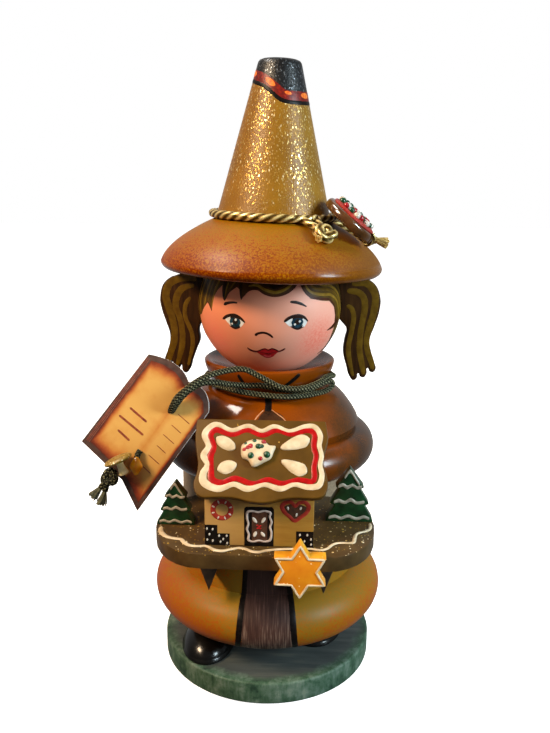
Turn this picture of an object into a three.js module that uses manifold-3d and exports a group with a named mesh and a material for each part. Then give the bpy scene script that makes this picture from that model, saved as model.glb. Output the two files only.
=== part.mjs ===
// An incense smoker: a turned wooden girl in a tall hat who carries a tray with a gingerbread house.
// Millimetres, +Z up. The figure looks along -Y, and the origin is the centre of the base's underside.
import * as THREE from 'three';
import { mergeVertices } from 'three/addons/utils/BufferGeometryUtils.js';
import Module from 'manifold-3d';

const wasm = await Module();
wasm.setup();

// Fits
const gap = 0.3;
const pinGap = 0.15;
const sides = 32;

// Base and shoes
const baseRadius = 29.1;
const baseThickness = 6.2;
const baseChamfer = 0.6;
const dowelRadius = 3;
const dowelInBase = 3.7;
const dowelInSkirt = 8;
const shoeWidth = 14.4;
const shoeLength = 22;
const shoeHeight = 6.5;
// Where the shoes stand, as parts of the hem's radius
const leftShoePlace = [-0.497, -0.37];
const rightShoePlace = [0.456, -0.07];

// Skirt and waist, turned in one piece
const footRadius = 6.2;
const footHeight = 7.1;
const hemRadius = 31.6;
const hemInset = 12;
const hemDrop = 8.2;
const hipInset = 7.2;
const hipRise = 7;
const waistRadius = 23.6;
const waistHeight = 29.5;
const cupRadius = 17;
const cupDepth = 12;
const spigotHeight = 5;
const airHoleRadius = 3.1;
const plateThickness = 0.6;
const plateRim = 1.2;
const tackRadius = 0.7;
const tackLength = 6;

// Tray, brackets and what stands on the tray
const trayWidth = 50.6;
const trayShift = 0.8;
const trayThickness = 3.3;
const trayDrop = 4.4;
const trayStep = 4.5;
const trayEnd = 12;
const trayBack = 18.3;
const leftBracket = 13.2;
const rightBracket = 15;
const bracketWidth = 12.4;
const bracketDrop = 17.6;
const bracketReach = 6.4;
const trayPinRadius = 0.9;
const trayPinSpread = 5.6;
const houseWidth = 23.7;
const houseDepth = 14;
const houseWall = 14.4;
const roofPitch = 51;
const roofWidth = 27.4;
const roofShift = 0.4;
const roofSlope = 13.5;
const roofDip = 2.3;
const roofThickness = 2;
const roofGap = 0.8;
const sweetRadius = 3.5;
const sweetHeight = 1.5;
const treeThickness = 3;
const leftTreeWidth = 8.9;
const leftTreeHeight = 10.5;
const rightTreeWidth = 11.2;
const rightTreeHeight = 13.2;
const treeGap = 2.9;
const starRadius = 6.4;
const starThickness = 3.4;
const starShift = 9;

// Cape, collar and head
const capeSocketRadius = 20.5;
const capeRimRadius = 24.5;
const capeBulgeRadius = 28.5;
const capeBulgeRise = 4.3;
const capeGrooveRadius = 23.4;
const capeGrooveRise = 9.3;
const capeShoulderRadius = 24.1;
const capeShoulderRise = 11;
const capeHeight = 20;
const neckRadius = 13.5;
const neckHeight = 2;
const tenonRadius = 6.5;
const tenonHeight = 8;
const smokeBore = 3.4;
const collarRadius = 17.3;
const collarHeight = 5.4;
const collarFloor = 2.1;
const headRadius = 18.6;
const headBore = 4.2;

// Pigtails
const pigtailThickness = 3.6;
const pegRadius = 0.9;
const pegLength = 6;

// Hat
const hatTilt = 1.9;
const brimRadius = 28.5;
const brimLift = 8.6;
const brimCrown = 2.7;
const coneRadius = 14.6;
const coneTip = 5.5;
const coneHeight = 38.1;
const coneBore = 3.5;
const goldCordRadius = 0.95;
const tuftRadius = 1.7;
const tuftLength = 3.6;
const tuftLift = 9.2;
const tuftInset = 2.3;
const biscuitRadius = 7.2;
const biscuitThickness = 2.5;
const icingRadius = 6;
const icingThickness = 1;
const biscuitOut = 3.5;
const biscuitForward = 8.6;

// Neck cord and swing tag
const neckCordDiameter = 1.7;
const tagThickness = 1;
const tagHole = 1.1;
const tagLean = 18;
const tagTurn = -34.8;

// Heights that follow from the sizes above
const hemZ = baseThickness + footHeight + hemDrop;
const hipZ = hemZ + hipRise;
const seatZ = hipZ + waistHeight;
const cupFloorZ = seatZ - cupDepth;
const neckZ = seatZ + capeHeight;
const collarZ = neckZ + neckHeight;
const socketRadius = tenonRadius + gap;
const headZ = collarZ + collarFloor + gap + Math.sqrt(headRadius ** 2 - socketRadius ** 2);
const trayTopZ = seatZ - trayDrop;
const trayUnderZ = trayTopZ - trayThickness;

// Depths on the tray, counted forward from the cape's bulge
const rad = THREE.MathUtils.degToRad;
const pitch = rad(roofPitch);
const roofRun = Math.cos(pitch) * roofSlope + Math.sin(pitch) * roofThickness;
const ridgeY = -(capeBulgeRadius + roofGap + roofRun);
const houseFrontY = ridgeY - houseDepth / 2;
const trayFrontY = houseFrontY - trayStep;

const object = new THREE.Group();

// A closed three.js geometry as a solid that can be cut
function solid(geometry) {
  const bare = geometry.clone();
  bare.deleteAttribute('normal');
  bare.deleteAttribute('uv');
  const merged = mergeVertices(bare, 1e-4);
  const kept = [];
  const index = merged.index.array;
  for (let i = 0; i < index.length; i += 3) {
    const [a, b, c] = [index[i], index[i + 1], index[i + 2]];
    if (a !== b && b !== c && a !== c) kept.push(a, b, c);
  }
  return new wasm.Manifold(new wasm.Mesh({
    numProp: 3,
    vertProperties: Float32Array.from(merged.attributes.position.array),
    triVerts: Uint32Array.from(kept),
  }));
}

function shapeOf(body) {
  const mesh = body.getMesh();
  const geometry = new THREE.BufferGeometry();
  geometry.setAttribute('position', new THREE.BufferAttribute(mesh.vertProperties, 3));
  geometry.setIndex(new THREE.BufferAttribute(mesh.triVerts, 1));
  geometry.computeVertexNormals();
  return geometry;
}

function cut(geometry, ...tools) {
  let body = solid(geometry);
  for (const tool of tools) body = body.subtract(solid(tool));
  return shapeOf(body);
}

function join(geometry, ...others) {
  let body = solid(geometry);
  for (const other of others) body = body.add(solid(other));
  return shapeOf(body);
}

// A profile of [radius, height] turned about Z, going up the outside and down the inside
function turned(profile, count = sides) {
  const points = profile.map(([r, z]) => new THREE.Vector2(r, z));
  return new THREE.LatheGeometry(points, count).rotateX(Math.PI / 2);
}

// An outline in X and Z sawn from a board that reaches from y = 0 forward to y = -thickness
function sawn(outline, thickness) {
  const shape = new THREE.Shape(outline.map(([x, z]) => new THREE.Vector2(x, z)));
  return new THREE.ExtrudeGeometry(shape, { depth: thickness, bevelEnabled: false }).rotateX(Math.PI / 2);
}

function polygon(radius, count) {
  const shape = new THREE.Shape();
  for (let i = 0; i < count; i += 1) {
    const turn = (2 * Math.PI * i) / count;
    const [x, y] = [radius * Math.cos(turn), radius * Math.sin(turn)];
    if (i === 0) shape.moveTo(x, y);
    else shape.lineTo(x, y);
  }
  shape.closePath();
  return shape;
}

// A round cord along hand-chosen points
function cord(points, radius, steps) {
  const path = new THREE.CatmullRomCurve3(points.map((p) => new THREE.Vector3(...p)));
  return new THREE.ExtrudeGeometry(polygon(radius, 8), { steps, extrudePath: path, bevelEnabled: false });
}

// A pin along X, Y or Z
function pin(radius, length, axis, count = 16) {
  const geometry = new THREE.CylinderGeometry(radius, radius, length, count);
  if (axis === 'x') geometry.rotateZ(Math.PI / 2);
  if (axis === 'z') geometry.rotateX(Math.PI / 2);
  return geometry;
}

function ball(x, y, z, across = 12, up = 8) {
  return new THREE.SphereGeometry(1, across, up).rotateX(Math.PI / 2).scale(x, y, z);
}

// Points on an ellipse, from one angle to another in degrees
function arc(r, z, a, b, from, to, count) {
  const points = [];
  for (let i = 0; i <= count; i += 1) {
    const turn = rad(from + ((to - from) * i) / count);
    points.push([r + a * Math.cos(turn), z + b * Math.sin(turn)]);
  }
  return points;
}

function add(name, geometry, colour, roughness, metalness = 0, parent = object) {
  const material = new THREE.MeshStandardMaterial({ color: colour, roughness, metalness });
  const mesh = new THREE.Mesh(geometry, material);
  mesh.name = name;
  parent.add(mesh);
  return mesh;
}

// Round base with a blind hole for the dowel that carries the skirt
add('base_disc', turned([
  [0, 0],
  [baseRadius - baseChamfer, 0],
  [baseRadius, baseChamfer],
  [baseRadius, baseThickness - baseChamfer],
  [baseRadius - baseChamfer, baseThickness],
  [dowelRadius, baseThickness],
  [dowelRadius, baseThickness - dowelInBase],
  [0, baseThickness - dowelInBase],
]), '#3f6b4a', 0.55);

const dowelLength = dowelInBase + dowelInSkirt - 2 * gap;
const dowel = add('base_dowel', pin(dowelRadius - pinGap, dowelLength, 'z', 20), '#c9a878', 0.7);
dowel.position.z = baseThickness - dowelInBase + gap + dowelLength / 2;

// Shoes, half balls that stand on the base under the skirt
const shoe = turned([[0, 0], ...arc(0, 0, 1, 1, 0, 90, 6)], 20);
const shoeLeft = add('shoe_left', shoe.clone(), '#141210', 0.25);
shoeLeft.scale.set(shoeWidth / 2, shoeLength / 2, shoeHeight);
shoeLeft.position.set(leftShoePlace[0] * hemRadius, leftShoePlace[1] * hemRadius, baseThickness);
const shoeRight = add('shoe_right', shoe.clone(), '#141210', 0.25);
shoeRight.scale.set(shoeWidth / 2, shoeLength / 2, shoeHeight);
shoeRight.position.set(rightShoePlace[0] * hemRadius, rightShoePlace[1] * hemRadius, baseThickness);
shoeRight.rotation.z = rad(-8);

// Skirt with its waist, spigot and hollow cup for the incense cone
const hemFloor = baseThickness + footHeight;
const waistOutside = [
  ...arc(hemRadius - hemInset, hemZ, hemInset, hemDrop, -90, 0, 6),
  ...arc(hemRadius - hipInset, hemZ, hipInset, hipRise, 0, 90, 5).slice(1),
  [waistRadius, hipZ + 0.55 * waistHeight],
  [waistRadius, seatZ],
];
const skirtBody = turned([
  [0, baseThickness + dowelInSkirt],
  [dowelRadius, baseThickness + dowelInSkirt],
  [dowelRadius, baseThickness],
  [footRadius, baseThickness],
  [footRadius, hemFloor],
  ...waistOutside,
  [capeSocketRadius - gap, seatZ],
  [capeSocketRadius - gap, seatZ + spigotHeight],
  [cupRadius, seatZ + spigotHeight],
  [cupRadius, cupFloorZ],
  [tackRadius + pinGap, cupFloorZ],
  [tackRadius + pinGap, cupFloorZ - tackLength - gap],
  [0, cupFloorZ - tackLength - gap],
]);
const airHoleLength = waistRadius - cupRadius + 2 * airHoleRadius;
const airHole = pin(airHoleRadius, airHoleLength, 'y')
  .translate(0, (waistRadius + cupRadius) / 2, cupFloorZ + airHoleRadius + plateRim);
const trayPinZ = trayTopZ - trayThickness / 2;
const trayPinLength = 8;
const trayPinY = -Math.sqrt(waistRadius ** 2 - trayPinSpread ** 2) - 0.3;
const pinHoles = [-1, 1].map((side) => pin(trayPinRadius + pinGap, trayPinLength + 2 * gap, 'y', 12)
  .translate(side * trayPinSpread, trayPinY, trayPinZ));
add('skirt', cut(skirtBody, airHole, ...pinHoles), '#a87a22', 0.35);

// Metal dish on the cup's floor, held by a tack
const plateRadius = cupRadius - 2 * gap;
add('cone_plate', turned([
  [tackRadius + pinGap, cupFloorZ],
  [plateRadius, cupFloorZ],
  [plateRadius, cupFloorZ + plateRim],
  [plateRadius - plateThickness, cupFloorZ + plateRim],
  [plateRadius - plateThickness, cupFloorZ + plateThickness],
  [tackRadius + pinGap, cupFloorZ + plateThickness],
  [tackRadius + pinGap, cupFloorZ],
]), '#b08d3e', 0.35, 1);
const tackTop = cupFloorZ + plateThickness;
add('plate_tack', turned([
  [0, cupFloorZ - tackLength],
  [tackRadius, cupFloorZ - tackLength + 1],
  [tackRadius, tackTop],
  [2.6 * tackRadius, tackTop],
  [2.2 * tackRadius, tackTop + 0.4],
  [0, tackTop + 0.7],
], 16), '#9a9a98', 0.35, 1);

// Tray board with round ends, notched to fit the waist
const trayMid = (trayFrontY - trayBack) / 2;
const trayHalf = (-trayBack - trayFrontY) / 2;
const trayStraight = trayWidth / 2 - trayEnd;
const trayOutline = new THREE.Shape([
  ...arc(trayStraight, trayMid, trayEnd, trayHalf, -90, 90, 14),
  ...arc(-trayStraight, trayMid, trayEnd, trayHalf, 90, 270, 14),
].map(([x, y]) => new THREE.Vector2(x + trayShift, y)));
const trayBlank = new THREE.ExtrudeGeometry(trayOutline, { depth: trayThickness, bevelEnabled: false })
  .translate(0, 0, trayUnderZ);
const waistTool = pin(waistRadius + gap, 3 * trayThickness, 'z', 64).translate(0, 0, trayUnderZ);
add('tray_board', cut(trayBlank, waistTool, ...pinHoles), '#5a3e1c', 0.5);
for (const [name, side] of [['tray_dowel_left', -1], ['tray_dowel_right', 1]]) {
  const mesh = add(name, pin(trayPinRadius, trayPinLength, 'y', 12), '#c9a878', 0.7);
  mesh.position.set(side * trayPinSpread, trayPinY, trayPinZ);
}

// Wedge brackets under the tray, shaped to the waist
const skirtTool = turned([
  [0, baseThickness],
  [footRadius, baseThickness],
  [footRadius, hemFloor - gap],
  ...waistOutside.map(([r, z]) => [r + gap, z]),
  [0, seatZ],
], 64);
const bracketBack = 12;
const bracketFront = waistRadius + bracketReach;
for (const [name, across] of [['tray_bracket_left', -leftBracket], ['tray_bracket_right', rightBracket]]) {
  const wedge = sawn([[-bracketWidth / 2, 0], [0, -bracketDrop], [bracketWidth / 2, 0]], bracketFront - bracketBack)
    .translate(across, -bracketBack, trayUnderZ);
  add(name, cut(wedge, skirtTool), '#a87a22', 0.45);
}

// House block with a gable at each end, and two roof boards mitred at the ridge
const apexZ = trayTopZ + houseWall + (Math.tan(pitch) * houseDepth) / 2;
const gable = new THREE.Shape([
  [-houseDepth / 2, trayTopZ],
  [houseDepth / 2, trayTopZ],
  [houseDepth / 2, trayTopZ + houseWall],
  [0, apexZ],
  [-houseDepth / 2, trayTopZ + houseWall],
].map(([y, z]) => new THREE.Vector2(y, z)));
const houseBlock = new THREE.ExtrudeGeometry(gable, { depth: houseWidth, bevelEnabled: false })
  .rotateX(Math.PI / 2)
  .rotateZ(Math.PI / 2)
  .translate(-houseWidth / 2, ridgeY, 0);
add('house_body', houseBlock, '#b48a4a', 0.6);

const roofLift = apexZ + gap / Math.cos(pitch);
const mitre = new THREE.BoxGeometry(2 * roofWidth, 40, 60).translate(0, 20 - gap / 2, roofLift);
function roofBoard(dip) {
  const outline = [];
  for (let i = 0; i <= 12; i += 1) {
    const across = -1 + i / 6;
    const corner = Math.abs(across) === 1 ? 1 : 0;
    outline.push([(across * roofWidth) / 2, -roofSlope - dip * (1 - across ** 2) + corner]);
  }
  const top = roofThickness * Math.tan(pitch) + 1;
  outline.push([roofWidth / 2, top], [-roofWidth / 2, top]);
  const shape = new THREE.Shape(outline.map(([x, y]) => new THREE.Vector2(x, y)));
  const board = new THREE.ExtrudeGeometry(shape, { depth: roofThickness, bevelEnabled: false })
    .rotateX(pitch)
    .translate(0, 0, roofLift);
  return cut(board, mitre);
}
add('roof_front', roofBoard(roofDip).translate(roofShift, ridgeY, 0), '#6e4a16', 0.5);
add('roof_back', roofBoard(0).rotateZ(Math.PI).translate(roofShift, ridgeY, 0), '#6e4a16', 0.5);

// Iced sweet on the front roof board
const sweetOutline = new THREE.Shape();
for (let i = 0; i < 42; i += 1) {
  const turn = (2 * Math.PI * i) / 42;
  const r = sweetRadius * (0.84 + 0.16 * Math.cos(7 * turn));
  if (i === 0) sweetOutline.moveTo(r, 0);
  else sweetOutline.lineTo(r * Math.cos(turn), r * Math.sin(turn));
}
const roofFrame = new THREE.Group();
roofFrame.position.set(roofShift, ridgeY, roofLift);
roofFrame.rotation.x = pitch;
object.add(roofFrame);
const sweet = add('roof_sweet', new THREE.ExtrudeGeometry(sweetOutline, {
  depth: sweetHeight, bevelEnabled: false,
}), '#f4ead2', 0.35, 0, roofFrame);
sweet.position.set(-0.7, -0.4 * roofSlope, roofThickness + gap);

// Flat fir trees beside the house
function tree(width, height) {
  const w = width / 2;
  const half = [[w, 0], [0.95 * w, 0.07 * height], [0.62 * w, 0.31 * height], [0.82 * w, 0.34 * height],
    [0.42 * w, 0.62 * height], [0.6 * w, 0.65 * height]];
  return [...half, [0, height], ...half.slice().reverse().map(([x, z]) => [-x, z])];
}
const treeLeft = add('tree_left', sawn(tree(leftTreeWidth, leftTreeHeight), treeThickness), '#1e4a24', 0.5);
treeLeft.position.set(-(houseWidth + leftTreeWidth) / 2 - treeGap - 0.6, ridgeY + 5.3, trayTopZ);
const treeRight = add('tree_right', sawn(tree(rightTreeWidth, rightTreeHeight), treeThickness), '#1e4a24', 0.5);
treeRight.position.set((houseWidth + rightTreeWidth) / 2 + treeGap, ridgeY + 9.4, trayTopZ);

// Six-point star glued to the tray's front edge
const starOutline = [];
for (let i = 0; i < 12; i += 1) {
  const turn = rad(90 + 30 * i);
  const r = i % 2 ? starRadius / Math.sqrt(3) : starRadius;
  starOutline.push([r * Math.cos(turn), r * Math.sin(turn)]);
}
const star = add('star', sawn(starOutline, starThickness), '#f2a01e', 0.5);
star.position.set(starShift, trayFrontY, trayTopZ - trayThickness / 2);

// Cape, hollow inside, with a socket for the waist's spigot and a bored tenon for the head
const shoulder = [[0.22, 0.915], [0.44, 0.79], [0.66, 0.65], [0.85, 0.48], [1, 0.285]]
  .map(([up, out]) => [
    neckRadius + out * (capeShoulderRadius - neckRadius),
    seatZ + capeShoulderRise + up * (capeHeight - capeShoulderRise),
  ]);
const chamberZ = seatZ + capeGrooveRise;
const capeOutside = [
  ...arc(capeRimRadius, seatZ + capeBulgeRise, capeBulgeRadius - capeRimRadius, capeBulgeRise, -90, 0, 5),
  ...arc(capeGrooveRadius, seatZ + capeBulgeRise, capeBulgeRadius - capeGrooveRadius,
    capeGrooveRise - capeBulgeRise, 0, 90, 5).slice(1),
  [capeShoulderRadius, seatZ + capeShoulderRise],
  ...shoulder,
  [neckRadius, neckZ + 0.2],
  [neckRadius, collarZ],
];
const capeProfile = [
  [capeSocketRadius, seatZ],
  ...capeOutside,
  [tenonRadius, collarZ],
  [tenonRadius, collarZ + tenonHeight],
  [smokeBore, collarZ + tenonHeight],
  [smokeBore, neckZ - 3],
  [0.62 * cupRadius, neckZ - 4.6],
  [0.88 * cupRadius, neckZ - 7.2],
  [cupRadius, chamberZ],
  [cupRadius, seatZ + spigotHeight + gap],
  [capeSocketRadius, seatZ + spigotHeight + gap],
  [capeSocketRadius, seatZ],
];
add('cape', turned(capeProfile), '#a64b0a', 0.25);

// Dish-shaped collar round the tenon
add('collar', turned([
  [socketRadius, collarZ],
  [collarRadius - 2.7, collarZ],
  [collarRadius - 1.3, collarZ + 0.26 * collarHeight],
  [collarRadius - 0.5, collarZ + 0.52 * collarHeight],
  [collarRadius, collarZ + 0.85 * collarHeight],
  [collarRadius - 0.3, collarZ + 0.96 * collarHeight],
  [collarRadius - 0.8, collarZ + collarHeight],
  [collarRadius - 1.9, collarZ + 0.92 * collarHeight],
  [socketRadius + 0.7, collarZ + collarFloor],
  [socketRadius, collarZ + collarFloor],
  [socketRadius, collarZ],
]), '#8a4a20', 0.4);

// Ball head with a socket below and a bore to the hat
const headLow = THREE.MathUtils.radToDeg(-Math.acos(socketRadius / headRadius));
const headHigh = THREE.MathUtils.radToDeg(Math.acos(headBore / headRadius));
const socketTop = collarZ + tenonHeight + gap;
const headArc = arc(0, headZ, headRadius, headRadius, headLow, headHigh, 13);
const headBlank = turned([
  ...headArc,
  [headBore, socketTop],
  [socketRadius, socketTop],
  headArc[0],
]);
const pegZ = headZ + 1.6;
const pegMid = headRadius + gap / 2;
const pegHoles = [-1, 1].map((side) => pin(pegRadius + pinGap, pegLength + 2 * gap, 'x', 12)
  .translate(side * pegMid, 0, pegZ));
add('head', cut(headBlank, ...pegHoles), '#e8a98c', 0.45);

// Pigtails sawn from board, hollowed to sit on the ball head
const pigtailShapes = {
  left: [[-18, 7], [-23, 7.1], [-27.4, 6.4], [-28.8, 1.5], [-28.4, -1.8], [-27.4, -5], [-26.4, -8.5],
    [-27, -11.8], [-28.2, -15.4], [-28.4, -17.6], [-25.5, -19], [-22.5, -18.9], [-21.2, -16.9],
    [-20, -13.6], [-18.5, -10], [-18.6, -7], [-16.5, -3], [-16.5, 4]],
  right: [[18, 6.6], [23, 6.7], [27, 6.4], [28.7, 2.3], [28.6, -1.4], [27.5, -5.4], [26.4, -9.5],
    [27, -12.2], [27.9, -15.4], [27.5, -17.9], [25.4, -19.6], [22.3, -20.2], [20.7, -15.6],
    [19.8, -10.7], [19.6, -6.9], [16.5, -3], [16.5, 4]],
};
const headTool = new THREE.SphereGeometry(headRadius + gap, 48, 32).translate(0, 0, headZ);
for (const side of ['left', 'right']) {
  const sign = side === 'left' ? -1 : 1;
  const points = pigtailShapes[side].map(([x, z]) => new THREE.Vector2(x, z));
  const outline = new THREE.Shape();
  outline.moveTo(points[0].x, points[0].y);
  outline.splineThru(points.slice(1));
  outline.closePath();
  const board = new THREE.ExtrudeGeometry(outline, { depth: pigtailThickness, bevelEnabled: false, curveSegments: 3 })
    .rotateX(Math.PI / 2)
    .translate(0, pigtailThickness / 2, headZ);
  add(`pigtail_${side}`, cut(board, headTool, ...pegHoles), '#4a2c18', 0.5);
  const peg = add(`pigtail_peg_${side}`, pin(pegRadius, pegLength, 'x', 12), '#c9a878', 0.7);
  peg.position.set(sign * pegMid, 0, pegZ);
}

// Hat, tilted a little about the centre of the head
const hat = new THREE.Group();
hat.position.z = headZ;
hat.rotation.y = rad(hatTilt);
object.add(hat);

const recess = headRadius + gap;
const hatSeat = recess + brimCrown;
const brimBore = headBore + 0.2;
const hatTenon = 6;
const domeEdge = [brimRadius, brimLift + 2];
const domeBend = [brimRadius - 1.6, brimLift + 7.2];
const domeTop = [coneRadius + 0.7, hatSeat - 0.1];

// A point on the brim's dome, t = 0 at the edge and 1 at the top, raised off the surface
function onDome(t, raise) {
  const mix = (a, b, c) => (1 - t) ** 2 * a + 2 * t * (1 - t) * b + t ** 2 * c;
  const slope = (a, b, c) => (1 - t) * (b - a) + t * (c - b);
  const [dr, dz] = [0, 1].map((i) => slope(domeEdge[i], domeBend[i], domeTop[i]));
  const length = Math.hypot(dr, dz);
  return [
    mix(domeEdge[0], domeBend[0], domeTop[0]) + (raise * dz) / length,
    mix(domeEdge[1], domeBend[1], domeTop[1]) - (raise * dr) / length,
  ];
}
// A place on the hat from a radius, a height and an angle counted from the front to the wearer's left
function around([r, z], angle) {
  return [r * Math.sin(rad(angle)), -r * Math.cos(rad(angle)), z];
}

const recessLow = THREE.MathUtils.radToDeg(Math.asin(brimLift / recess));
const recessHigh = THREE.MathUtils.radToDeg(Math.acos(brimBore / recess));
const recessArc = arc(0, 0, recess, recess, recessHigh, recessLow, 5);
const domeLine = [0, 0.16, 0.34, 0.55, 0.78, 1].map((t) => onDome(t, 0));
add('hat_brim', turned([
  recessArc[recessArc.length - 1],
  [brimRadius - 2, brimLift + 0.1],
  [brimRadius - 0.5, brimLift + 0.8],
  ...domeLine,
  [coneRadius + 0.6, hatSeat],
  [hatTenon + gap, hatSeat],
  [hatTenon + gap, hatSeat - 1.8],
  [brimBore, hatSeat - 1.8],
  ...recessArc,
]), '#c06a1a', 0.35, 0, hat);

const coneZ = hatSeat + gap;
const coneTopZ = coneZ + coneHeight;
add('hat_cone', turned([
  [coneBore, hatSeat - 1.5],
  [hatTenon, hatSeat - 1.5],
  [hatTenon, coneZ],
  [coneRadius, coneZ],
  [coneTip, coneTopZ - 1.2],
  [coneTip - 0.5, coneTopZ - 0.3],
  [coneTip - 1.1, coneTopZ],
  [coneBore, coneTopZ],
  [coneBore, hatSeat - 1.5],
]), '#a87a22', 0.5, 0, hat);

// Gold cord round the foot of the cone, its knot on the brim and its loose frayed end
const cordRing = [coneRadius + goldCordRadius, coneZ + goldCordRadius];
const ring = add('hat_cord', new THREE.TorusGeometry(cordRing[0], goldCordRadius, 8, sides), '#b8892e', 0.4, 0.5, hat);
ring.position.z = cordRing[1];

const knotPlace = around(onDome(0.71, 2.1), 36);
const knotStart = around([cordRing[0] + 2.2 * goldCordRadius, cordRing[1] - 0.6], 36);
const knotEnd = around(onDome(0.68, 1.6), 47);
const knotLump = ball(2.6, 2.9, 1.7, 14, 8)
  .rotateY(rad(32))
  .rotateZ(rad(36 - 90))
  .translate(...knotPlace);
add('hat_cord_knot', join(
  knotLump,
  cord([knotStart, knotPlace], goldCordRadius, 2),
  cord([knotPlace, knotEnd], goldCordRadius, 2),
), '#b8892e', 0.4, 0.5, hat);

const tailLift = goldCordRadius + gap + 0.1;
const tuftRise = brimLift + tuftLift;
const tailRoute = [
  around([cordRing[0] + 2.5 * goldCordRadius, cordRing[1] - 0.3], 126),
  around(onDome(0.72, tailLift), 118),
  around(onDome(0.5, tailLift + 0.3), 106),
  around([brimRadius - tuftInset - 0.1, tuftRise - 0.6], 97),
  around([brimRadius - tuftInset + 0.9, tuftRise - 0.1], 92),
];
const tuft = turned([
  [0, 0],
  [0.65 * tuftRadius, 0],
  [tuftRadius, 0.4 * tuftLength],
  [0.88 * tuftRadius, 0.83 * tuftLength],
  [0, tuftLength],
], 10)
  .rotateY(rad(106))
  .translate(brimRadius - tuftInset, 0.2, tuftRise);
add('hat_cord_tail', join(cord(tailRoute, goldCordRadius, 12), tuft), '#d8b86a', 0.6, 0.2, hat);

// Round biscuit that leans on the gold cord and the brim, with icing and sugar beads on it
const slope = Math.atan2(domeTop[1] - domeEdge[1], domeEdge[0] - domeTop[0]);
const biscuitFrame = new THREE.Group();
biscuitFrame.position.set(coneRadius + biscuitOut, -biscuitForward, hatSeat + 0.2);
biscuitFrame.rotation.set(0, slope, rad(-7), 'ZYX');
hat.add(biscuitFrame);
add('biscuit', turned([
  [0, 0],
  [biscuitRadius - 0.6, 0],
  [biscuitRadius, 0.7],
  [biscuitRadius, biscuitThickness - 0.7],
  [biscuitRadius - 0.6, biscuitThickness],
  [0, biscuitThickness],
], 28), '#7a4a20', 0.3, 0, biscuitFrame);
const beads = [ball(1.3, 1.3, 1.1, 8, 5)];
for (let i = 0; i < 6; i += 1) {
  const turn = rad(60 * i + 20);
  beads.push(ball(1.1, 1.1, 1, 8, 5).translate(4 * Math.cos(turn), 4 * Math.sin(turn), 0));
}
const icing = turned([
  [0, 0],
  [icingRadius, 0],
  [icingRadius, 0.6 * icingThickness],
  [icingRadius - 0.5, icingThickness],
  [0, icingThickness],
], 28);
const icingCap = join(icing, ...beads.map((bead) => bead.translate(0, 0, icingThickness + 0.2)));
add('biscuit_icing', icingCap, '#c03028', 0.35, 0, biscuitFrame).position.z = biscuitThickness + gap;

// Olive cord: from the tag's hole over the collar, round the back of the neck, across the front to a fold, and back
const neckRoute = [
  [-23.2, -26, -2.1], [-20.6, -26.9, 0.3], [-17.6, -26.4, 2.5], [-13.9, -24, 5], [-9.5, -21.3, 6.7],
  [-5, -19.9, 5.8], [-1, -19.3, 3.8], [2.2, -19.2, 2.6], [4.7, -18.9, 2.3], [8.3, -17.5, 2.6],
  [12, -14.1, 2.95], [15, -9.8, 2.4], [16.6, -4.6, 1.2], [16.8, 1, 0.3], [14.9, 7.8, 0],
  [10, 13.5, -0.1], [3, 16.5, -0.1], [-4, 16.3, -0.1], [-10.8, 12.9, -0.1], [-15.4, 6.7, -0.1],
  [-16.9, -0.4, -0.1], [-15.9, -6.4, 0], [-13.7, -11, 0.2], [-11.2, -14.2, 0.1], [-6.5, -17.1, -0.5],
  [-2.7, -17.9, -0.8], [1, -18, -1], [4.7, -17.9, -1], [8.4, -16.3, -1], [12.1, -13.4, -1.15],
  [15.4, -10.9, -1.2], [18, -8.6, -0.7], [18.9, -7.6, 0.4], [17.9, -8.8, 1.3], [15.4, -11.7, 1],
  [12.1, -13.2, 0.95], [8.4, -15.5, 0.95], [4.7, -16.8, 0.95], [2.2, -16.9, 1.2], [-1, -17.1, 1.5],
  [-5.2, -17.8, 1.9], [-9.9, -20, 2.7], [-12.5, -22.6, 3.4], [-15.3, -23.9, 2.9], [-17.3, -24.6, 1.3],
  [-19.6, -25, -0.8], [-21.7, -26, -3.6],
];
const neckCord = add('neck_cord', cord(neckRoute, neckCordDiameter / 2, 76), '#3b3a22', 0.8);
neckCord.position.z = collarZ;

// Swing tag on the cord: a die-cut card with two holes, and what is threaded on the cord's ends
const tag = new THREE.Group();
tag.position.set(-22.8, -24, collarZ - 3);
tag.rotation.set(rad(90 - tagLean), 0, rad(tagTurn));
object.add(tag);

const cardOutline = new THREE.Shape();
cardOutline.moveTo(-13, -18.4);
cardOutline.lineTo(0.5, -20);
cardOutline.lineTo(7.8, -23.7);
cardOutline.lineTo(7.7, 5.3);
cardOutline.quadraticCurveTo(4.6, 10.6, -0.6, 8.3);
cardOutline.quadraticCurveTo(-5, 11.6, -12.4, 8);
cardOutline.closePath();
for (const y of [0, -12.2]) {
  const hole = new THREE.Path();
  hole.absarc(0, y, tagHole, 0, 2 * Math.PI, true);
  cardOutline.holes.push(hole);
}
add('tag_card', new THREE.ExtrudeGeometry(cardOutline, {
  depth: tagThickness, bevelEnabled: false, curveSegments: 7,
}).translate(0, 0, -tagThickness / 2), '#e8a848', 0.5, 0, tag);

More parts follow.
